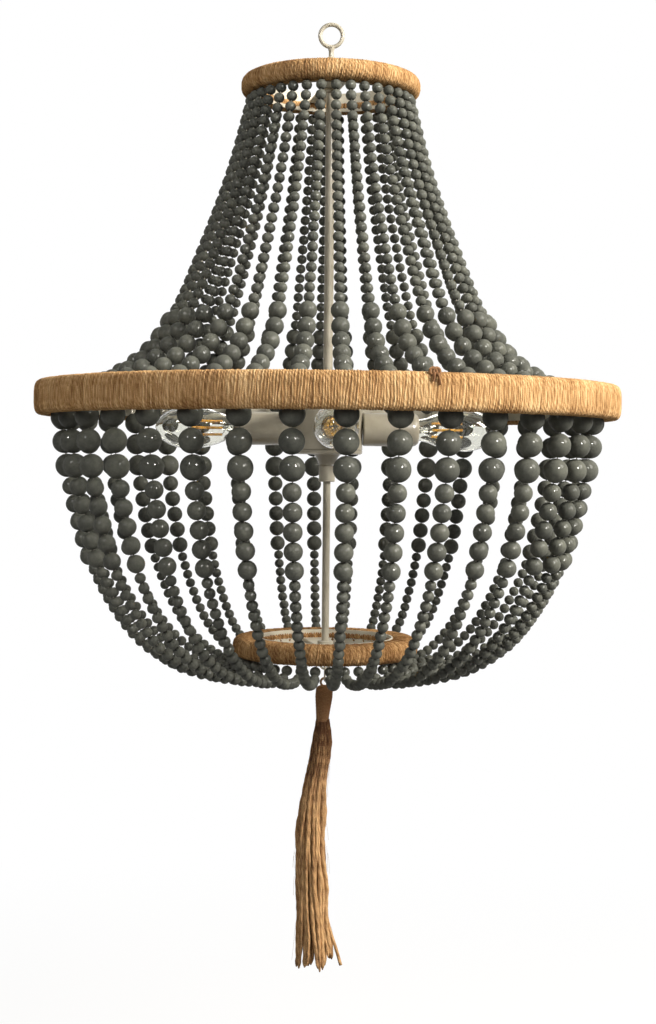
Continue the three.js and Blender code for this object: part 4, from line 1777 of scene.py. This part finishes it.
@dataclass
class Tassel(Assembly):
    """The jute tassel: a cord loop, a wound neck and a skirt of loose yarns with some loose fibres."""

    yarns: int = 50
    yarn_radius: float = 2.15 * MM
    yarn_range: tuple = (0.72, 1.12)
    root: float = 2.0 * MM
    steps: int = 84
    sides: int = 8
    ply_pitch: float = 14.0 * MM
    ply_depth: float = 0.1
    lumps: tuple = ((0.07, 0.7, 1), (0.05, 0.23, 2))
    waves: int = 4
    wave_rates: tuple = (1.2, 4.5)
    wave_sizes: tuple = (0.3, 1.2)
    wave_growth: float = 2.5
    flatness: float = 0.7
    foot_turn: float = 0.35
    foot_scatter: float = 0.16
    foot_rise: float = 0.022
    cut_steps: float = 3.0
    cut_share: float = 0.35
    tone_range: tuple = (0.25, 1.0)
    # The skirt's tone is painted darker towards the neck, as painted shade.
    shade_rate: float = 2.3
    neck_shade: float = 0.35
    fibres: int = 24
    fibre_radius: float = 0.14 * MM
    fibre_starts: tuple = (0.05, 0.85)
    fibre_spans: tuple = (0.05, 0.14)
    fibre_lifts: tuple = (0.2, 1.0)
    fibre_tones: tuple = (0.6, 1.0)
    fibre_curl: float = 0.25
    fibre_end: float = 0.985
    fibre_stand: float = 1.6 * MM
    fibre_root: float = -0.6 * MM
    loop_wire: float = 1.27 * MM
    loop_radius: float = 4.2 * MM
    loop_tone: float = 0.6
    neck_pitch: float = 1.5 * MM
    neck_depth: float = 0.32 * MM
    neck_ridge: tuple = ((0.0, 0.0), (0.3, 0.85), (0.5, 1.0), (0.7, 0.85))
    neck_crown: tuple = ((0.0, 1.5), (3.5, 1.0))
    neck_foot: float = 6.0 * MM
    neck_lean: float = 0.06
    widths: tuple = (
        (0.0, 4.4 * MM), (0.04, 8.0 * MM), (0.09, 10.6 * MM), (0.164, 9.6 * MM), (0.238, 10.8 * MM),
        (0.311, 13.2 * MM), (0.385, 14.2 * MM), (0.459, 16.2 * MM), (0.557, 17.0 * MM), (0.705, 17.4 * MM),
        (0.828, 18.0 * MM), (0.9, 19.8 * MM), (1.0, 23.0 * MM),
    )
    leans: tuple = (
        (0.0, -2.0 * MM), (0.04, -1.6 * MM), (0.09, -2.2 * MM), (0.164, -4.8 * MM), (0.238, -8.6 * MM),
        (0.311, -11.0 * MM), (0.385, -12.5 * MM), (0.459, -13.6 * MM), (0.557, -12.2 * MM),
        (0.705, -11.0 * MM), (0.828, -9.2 * MM), (0.9, -8.0 * MM), (1.0, -8.2 * MM),
    )
    neck_shares: tuple = (
        (0.0, 6.0 * MM), (0.05, 9.0 * MM), (0.3, 9.2 * MM), (0.6, 8.0 * MM), (0.9, 6.8 * MM), (1.0, 6.5 * MM),
    )
    tufts: tuple = ((-0.84, 0.985), (-0.32, 0.975), (0.39, 0.985), (0.84, 0.95))
    tuft_spread: float = 0.55
    tuft_start: float = 0.8
    stray: tuple = ((0.62, 13.5, 3.0), (0.75, 14.0, 4.0), (0.83, 17.5, 4.5), (0.9, 23.0, 5.0), (0.965, 28.0, 5.5))
    stray_thickness: float = 0.8
    stray_tone: float = 0.85

    def build(self, shop: Workshop) -> None:
        """Makes the skirt with the loop, the loose fibres and the wound neck.

        Args:
            shop: The workshop.
        """
        end, high = shop.heights("tassel")
        neck_low = shop.heights("tassel_binding")[0]
        start = neck_low + self.root
        shape = Shape()
        loop_level = high - self.loop_wire - self.loop_radius
        shape.ring(self.loop_radius, self.loop_wire, loop_level, 28, 9, self.loop_tone)
        for number in range(self.yarns):
            self._yarn(shape, number, start, end, shop.dice)
        self._stray_yarn(shape, start, end)
        shop.piece("tassel_skirt", shape, Finishes.YARN, "tassel_body", ["tassel"], None)
        self._loose_fibres(shop, start, end)
        self._neck(shop, high - 2 * self.loop_radius - self.loop_wire, neck_low)

    def _middle(self, share: float, start: float, end: float) -> Vector:
        """The middle of the skirt at a share of the way down."""
        return Vector((eased(self.leans, share), 0.0, start - (start - end) * share))

    def _yarn(self, shape: Shape, number: int, start: float, end: float, dice: random.Random) -> None:
        """Adds one yarn of the skirt, laid of two plies.

        Args:
            shape: The skirt.
            number: The yarn's number, which sets its place in the bundle.
            start: The height where the yarns start, just inside the neck.
            end: The height of the tassel's lower end.
            dice: The source of its unevenness.
        """
        spread = math.sqrt((number + 0.5) / self.yarns)
        around = number * GOLDEN_ANGLE
        first = Vector((math.cos(around), math.sin(around) * self.flatness, 0.0)) * spread
        cross = dice.uniform(-1.0, 1.0) * self.foot_turn
        scatter = [dice.uniform(-self.foot_scatter, self.foot_scatter) for _ in range(2)]
        last = (turned(cross) @ first) + Vector((*scatter, 0.0))
        tuft, tuft_end = min(self.tufts, key=lambda row: abs(row[0] - last.x))
        gathered = Vector(((tuft - last.x) * (1 - self.tuft_spread), 0.0, 0.0))
        reach = tuft_end - dice.uniform(0.0, self.foot_rise)
        thickness = self.yarn_radius * dice.uniform(*self.yarn_range)
        waves = [
            (dice.uniform(*self.wave_rates), dice.uniform(0, FULL_TURN), dice.uniform(*self.wave_sizes) * MM)
            for _ in range(self.waves)
        ]
        line = []
        for step in range(self.steps + 1):
            share = step / self.steps * reach
            drawn = gathered * smooth_step((share - self.tuft_start) / (1 - self.tuft_start))
            offset = (first.lerp(last, share) + drawn) * eased(self.widths, share)
            wander = Vector((0.0, 0.0, 0.0))
            growth = min(1.0, share * self.wave_growth)
            for index, (rate, phase, size) in enumerate(waves):
                wander[index % 2] += math.sin(rate * share * FULL_TURN + phase) * size * growth
            line.append(self._middle(share, start, end) + offset + wander)
        twist = FULL_TURN * ((start - end) * reach / self.steps) / self.ply_pitch
        phase = dice.uniform(0, FULL_TURN)
        own = dice.uniform(*self.tone_range)

        def tone(ring: int) -> float:
            """The yarn's tone, with painted shade towards the neck."""
            shown = smooth_step(ring / self.steps * self.shade_rate)
            return own * shown - self.neck_shade * (1 - shown)

        def radius(ring: int, angle: float) -> float:
            """The yarn's radius: two plies, uneven along it, and thin at its cut end.

            Args:
                ring: The ring's number.
                angle: The angle round it.

            Returns:
                The radius.
            """
            cut = smooth_step((self.steps - ring) / self.cut_steps + self.cut_share)
            uneven = 1.0 + sum(size * math.sin(ring * rate + times * phase) for size, rate, times in self.lumps)
            return thickness * (1 + self.ply_depth * math.cos(2 * angle - ring * twist + phase)) * uneven * cut

        shape.tube(line, radius, self.sides, tone=tone, number=number)

    def _stray_yarn(self, shape: Shape, start: float, end: float) -> None:
        """Adds the one yarn that hangs away from the skirt at the right.

        Args:
            shape: The skirt.
            start: The height where the yarns start, just inside the neck.
            end: The height of the tassel's lower end.
        """
        course = Course([
            self._middle(share, start, end) + Vector((right, -front, 0.0)) * MM
            for share, right, front in self.stray
        ])
        thickness = self.yarn_radius * self.stray_thickness
        shape.tube(course.points(30), thickness, self.sides, tone=self.stray_tone, number=self.yarns)

    def _loose_fibres(self, shop: Workshop, start: float, end: float) -> None:
        """Makes thin fibres that stand a little off the skirt.

        Args:
            shop: The workshop.
            start: The height where the yarns start, just inside the neck.
            end: The height of the tassel's lower end.
        """
        dice = shop.dice
        shape = Shape()
        for number in range(self.fibres):
            around = dice.uniform(0, FULL_TURN)
            first = dice.uniform(*self.fibre_starts)
            span = dice.uniform(*self.fibre_spans)
            lift = dice.uniform(*self.fibre_lifts) * MM
            points = []
            for share, off in ((0.0, self.fibre_root), (0.4, lift * 0.6), (0.75, lift), (1.0, lift * 1.5)):
                place = min(self.fibre_end, first + span * share)
                bent = around + share * self.fibre_curl
                side = Vector((math.cos(bent), math.sin(bent) * self.flatness, 0.0))
                stand = eased(self.widths, place) + self.fibre_stand + off
                points.append(self._middle(place, start, end) + side * stand)
            line = Course(points).points(10)
            shape.tube(line, self.fibre_radius, 4, tone=dice.uniform(*self.fibre_tones), number=number)
        shop.piece("tassel_fibres", shape, Finishes.YARN, "tassel_body", crease=None)

    def _neck(self, shop: Workshop, head: float, low: float) -> None:
        """Makes the fine twine wound round the neck, wider at its head.

        Args:
            shop: The workshop.
            head: The height of its upper end.
            low: The height of its lower end.
        """
        turns = int((head - low) / self.neck_pitch)
        profile = profile_at(self.neck_crown, 0.0, head)
        for turn in range(turns):
            for share, ridge in self.neck_ridge:
                place = (turn + share) / turns
                radius = eased(self.neck_shares, place, 0.03) - self.neck_depth * (1 - ridge)
                profile.append((radius, head + (low - head) * place))
        profile += [(self.neck_foot, low), (0.0, low)]
        at_head = Matrix.Translation((0, 0, head))
        lean = at_head @ Matrix.Rotation(self.neck_lean, 4, "Y") @ at_head.inverted()
        riding = {"body": "tassel_body", "nodes": ["tassel_binding"]}
        shop.turned_piece("tassel_neck", profile, 32, Finishes.TWINE, lean, crease=None, **riding)


# Studio


@dataclass(frozen=True)
class Softbox:
    """One round lamp, aimed at the middle of the object, which lights it, shows in its gloss, or both."""

    name: str
    place: Vector
    size: float
    power: float
    colour: tuple
    lights: bool = True
    shines: bool = True


@dataclass
class Studio:
    """Floor, lights, world and camera."""

    width: int = 656
    height: int = 1024
    focal_pixels: float = 1594.0
    distance: float = 1.6775
    eye_height: float = -0.457
    eye_row: float = 461.0
    axis_column: float = 327.0
    roll: float = math.radians(-0.6)
    sensor: float = 24.0
    floor_drop: float = 0.42
    floor_size: float = 30.0
    floor_grey: float = 0.85
    floor_bounce: float = 0.2
    floor_roughness: float = 0.9
    floor_shadow_share: float = 0.25
    floor_shadow_fade: tuple = (1.5, 2.6)
    ambient: float = 0.17
    softboxes: tuple = (
        Softbox("window", Vector((2.1, -1.0, 0.95)), 1.4, 152.0, (1.0, 0.96, 0.89)),
        Softbox("front_fill", Vector((-0.6, -2.2, 0.5)), 0.8, 19.0, (1.0, 0.97, 0.92), shines=False),
        Softbox("back_fill", Vector((0.2, 2.6, 0.6)), 1.4, 34.0, (1.0, 0.97, 0.92), shines=False),
        Softbox("spark", Vector((1.13, -1.85, 0.45)), 0.4, 210.0, (1.0, 0.97, 0.92), lights=False),
        Softbox("second_spark", Vector((-1.18, -1.78, 0.72)), 0.32, 60.0, (1.0, 0.98, 0.96), lights=False),
    )

    def build(self) -> None:
        """Sets up everything round the object."""
        self._world()
        self._floor()
        for softbox in self.softboxes:
            self._light(softbox)
        self._camera()
        bpy.context.scene.view_settings.view_transform = "Standard"

    def _world(self) -> None:
        """A world that is white where it is seen, in gloss and through glass too, and a plain level elsewhere."""
        world = bpy.data.worlds.new("studio")
        bpy.context.scene.world = world
        world.use_nodes = True
        graph = Graph(world.node_tree)
        level = graph.backdrop_rays() * (1.0 - self.ambient) + self.ambient
        sky = graph.node("ShaderNodeBackground", {}, {"Color": WHITE, "Strength": level})
        graph.finish("ShaderNodeOutputWorld", sky)

    def _floor(self) -> None:
        """A pale floor below the tassel, which shows as white as the backdrop but keeps a faint shadow."""
        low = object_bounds()[0].z - self.floor_drop
        bm = bmesh.new()
        bmesh.ops.create_grid(bm, x_segments=1, y_segments=1, size=self.floor_size / 2)
        bmesh.ops.translate(bm, vec=(0, 0, low), verts=bm.verts)
        mesh = bpy.data.meshes.new("floor")
        bm.to_mesh(mesh)
        bm.free()
        floor = bpy.data.objects.new("floor", mesh)
        bpy.context.collection.objects.link(floor)
        mesh.materials.append(self._floor_material())
        floor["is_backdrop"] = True

    def _floor_material(self) -> bpy.types.Material:
        """The floor's finish: white where it is seen, a little less so near the object, grey to other rays.

        Returns:
            The material.
        """
        surface = Surface("floor_white")
        grey = surface.backdrop_rays() * (self.floor_grey - self.floor_bounce) + self.floor_bounce
        surface.set(Base_Color=grey, Roughness=self.floor_roughness, Specular_IOR_Level=0.0)
        white = surface.node("ShaderNodeEmission", {}, {"Color": WHITE, "Strength": 1.0})
        place = surface.node("ShaderNodeTexCoord", {}, {}, "Object")
        away = surface.node("ShaderNodeVectorMath", {"operation": "LENGTH"}, {0: place}, "Value")
        near, far = self.floor_shadow_fade
        limits = {"From Min": near, "From Max": far, "To Min": 1.0 - self.floor_shadow_share, "To Max": 1.0}
        glow = surface.node("ShaderNodeMapRange", {"interpolation_type": "SMOOTHSTEP"}, {"Value": away, **limits})
        share = surface.backdrop_rays() * glow
        mixed = surface.node("ShaderNodeMixShader", {}, {0: share, 1: surface.shader, 2: white})
        surface.finish("ShaderNodeOutputMaterial", mixed)
        return surface.material

    def _light(self, softbox: Softbox) -> None:
        """Hangs one lamp and aims it at the object's middle.

        Args:
            softbox: The lamp.
        """
        data = bpy.data.lights.new(softbox.name, "AREA")
        data.shape = "DISK"
        data.size = softbox.size
        data.energy = softbox.power
        data.color = softbox.colour
        lamp = bpy.data.objects.new(softbox.name, data)
        lamp.visible_diffuse = softbox.lights
        lamp.visible_glossy = softbox.shines
        bpy.context.collection.objects.link(lamp)
        target = Vector((0, 0, self.eye_height))
        lamp.location = softbox.place
        lamp.rotation_euler = (target - softbox.place).to_track_quat("-Z", "Y").to_euler()

    def _camera(self) -> None:
        """The photograph's camera: level, at the height of the main ring."""
        data = bpy.data.cameras.new("camera")
        data.sensor_fit = "VERTICAL"
        data.sensor_height = self.sensor
        data.sensor_width = self.sensor * self.width / self.height
        data.lens = self.focal_pixels / self.height * self.sensor
        data.shift_x = (self.width / 2 - self.axis_column) / self.height
        data.shift_y = (self.eye_row - self.height / 2) / self.height
        camera = bpy.data.objects.new("camera", data)
        bpy.context.collection.objects.link(camera)
        camera.location = (0.0, -self.distance, self.eye_height)
        camera.rotation_euler = (math.pi / 2, self.roll, 0.0)
        bpy.context.scene.camera = camera


def write_sizes(start: tuple[Vector, Vector], end: tuple[Vector, Vector]) -> None:
    """Logs the CAD box and the visual model's box as plain numbers.

    Args:
        start: The CAD box's lower and upper corner.
        end: The visual model's lower and upper corner.
    """
    boxes = {"start": [list(corner) for corner in start], "end": [list(corner) for corner in end]}
    log.info("box of the CAD model %s, of the visual model %s", boxes["start"], boxes["end"])


def assemblies() -> list[Assembly]:
    """The chandelier's sub-assemblies, in the order in which they are made.

    Returns:
        The sub-assemblies.
    """
    small_ring = {"squareness": 2.6, "section_points": 18, "lap": 3.3 * MM}
    small_band = {"thickness": 1.5 * MM, "bar_thickness": 2.5 * MM, "bar_turns": (SMALL_BAR_TURN,)}
    cross = (FRONT_TURN + math.pi / 4, FRONT_TURN - math.pi / 4)
    main_band = {"thickness": 2.0 * MM, "bar_thickness": 3.0 * MM, "bar_turns": cross}
    return [
        WoundRing("top", depth=0.5 * MM, tone_range=(0.15, 0.8), lap_side=Side.BOTTOM, **small_ring),
        WoundRing("main"),
        # The bottom winding's tones are set low, as painted shade under the strands.
        WoundRing("bottom", tone_range=(-0.4, 0.4), **small_ring),
        RingKnot(),
        HoopFrame("top", hole_side=Side.BOTTOM, hole_depth=3.3 * MM, **small_band),
        HoopFrame("main", hole_side=Side.TOP, hole_depth=12.4 * MM, **main_band),
        HoopFrame("bottom", hole_side=Side.TOP, hole_depth=11.0 * MM, **small_band),
        Spindle(),
        Hub(),
        *(Lamp(number) for number in range(1, 5)),
        BeadStrands(),
        Tassel(),
    ]


def main() -> None:
    """Builds the chandelier and its studio."""
    logging.basicConfig(level=logging.INFO, format="%(name)s: %(message)s")
    for leftover in list(bpy.data.objects):
        bpy.data.objects.remove(leftover)
    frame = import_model()
    cad_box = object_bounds()
    shop = Workshop(frame, Palette(), random.Random(SEED))
    for assembly in assemblies():
        assembly.build(shop)
    Studio().build()
    write_sizes(cad_box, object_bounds())


if __name__ == "__main__":
    main()
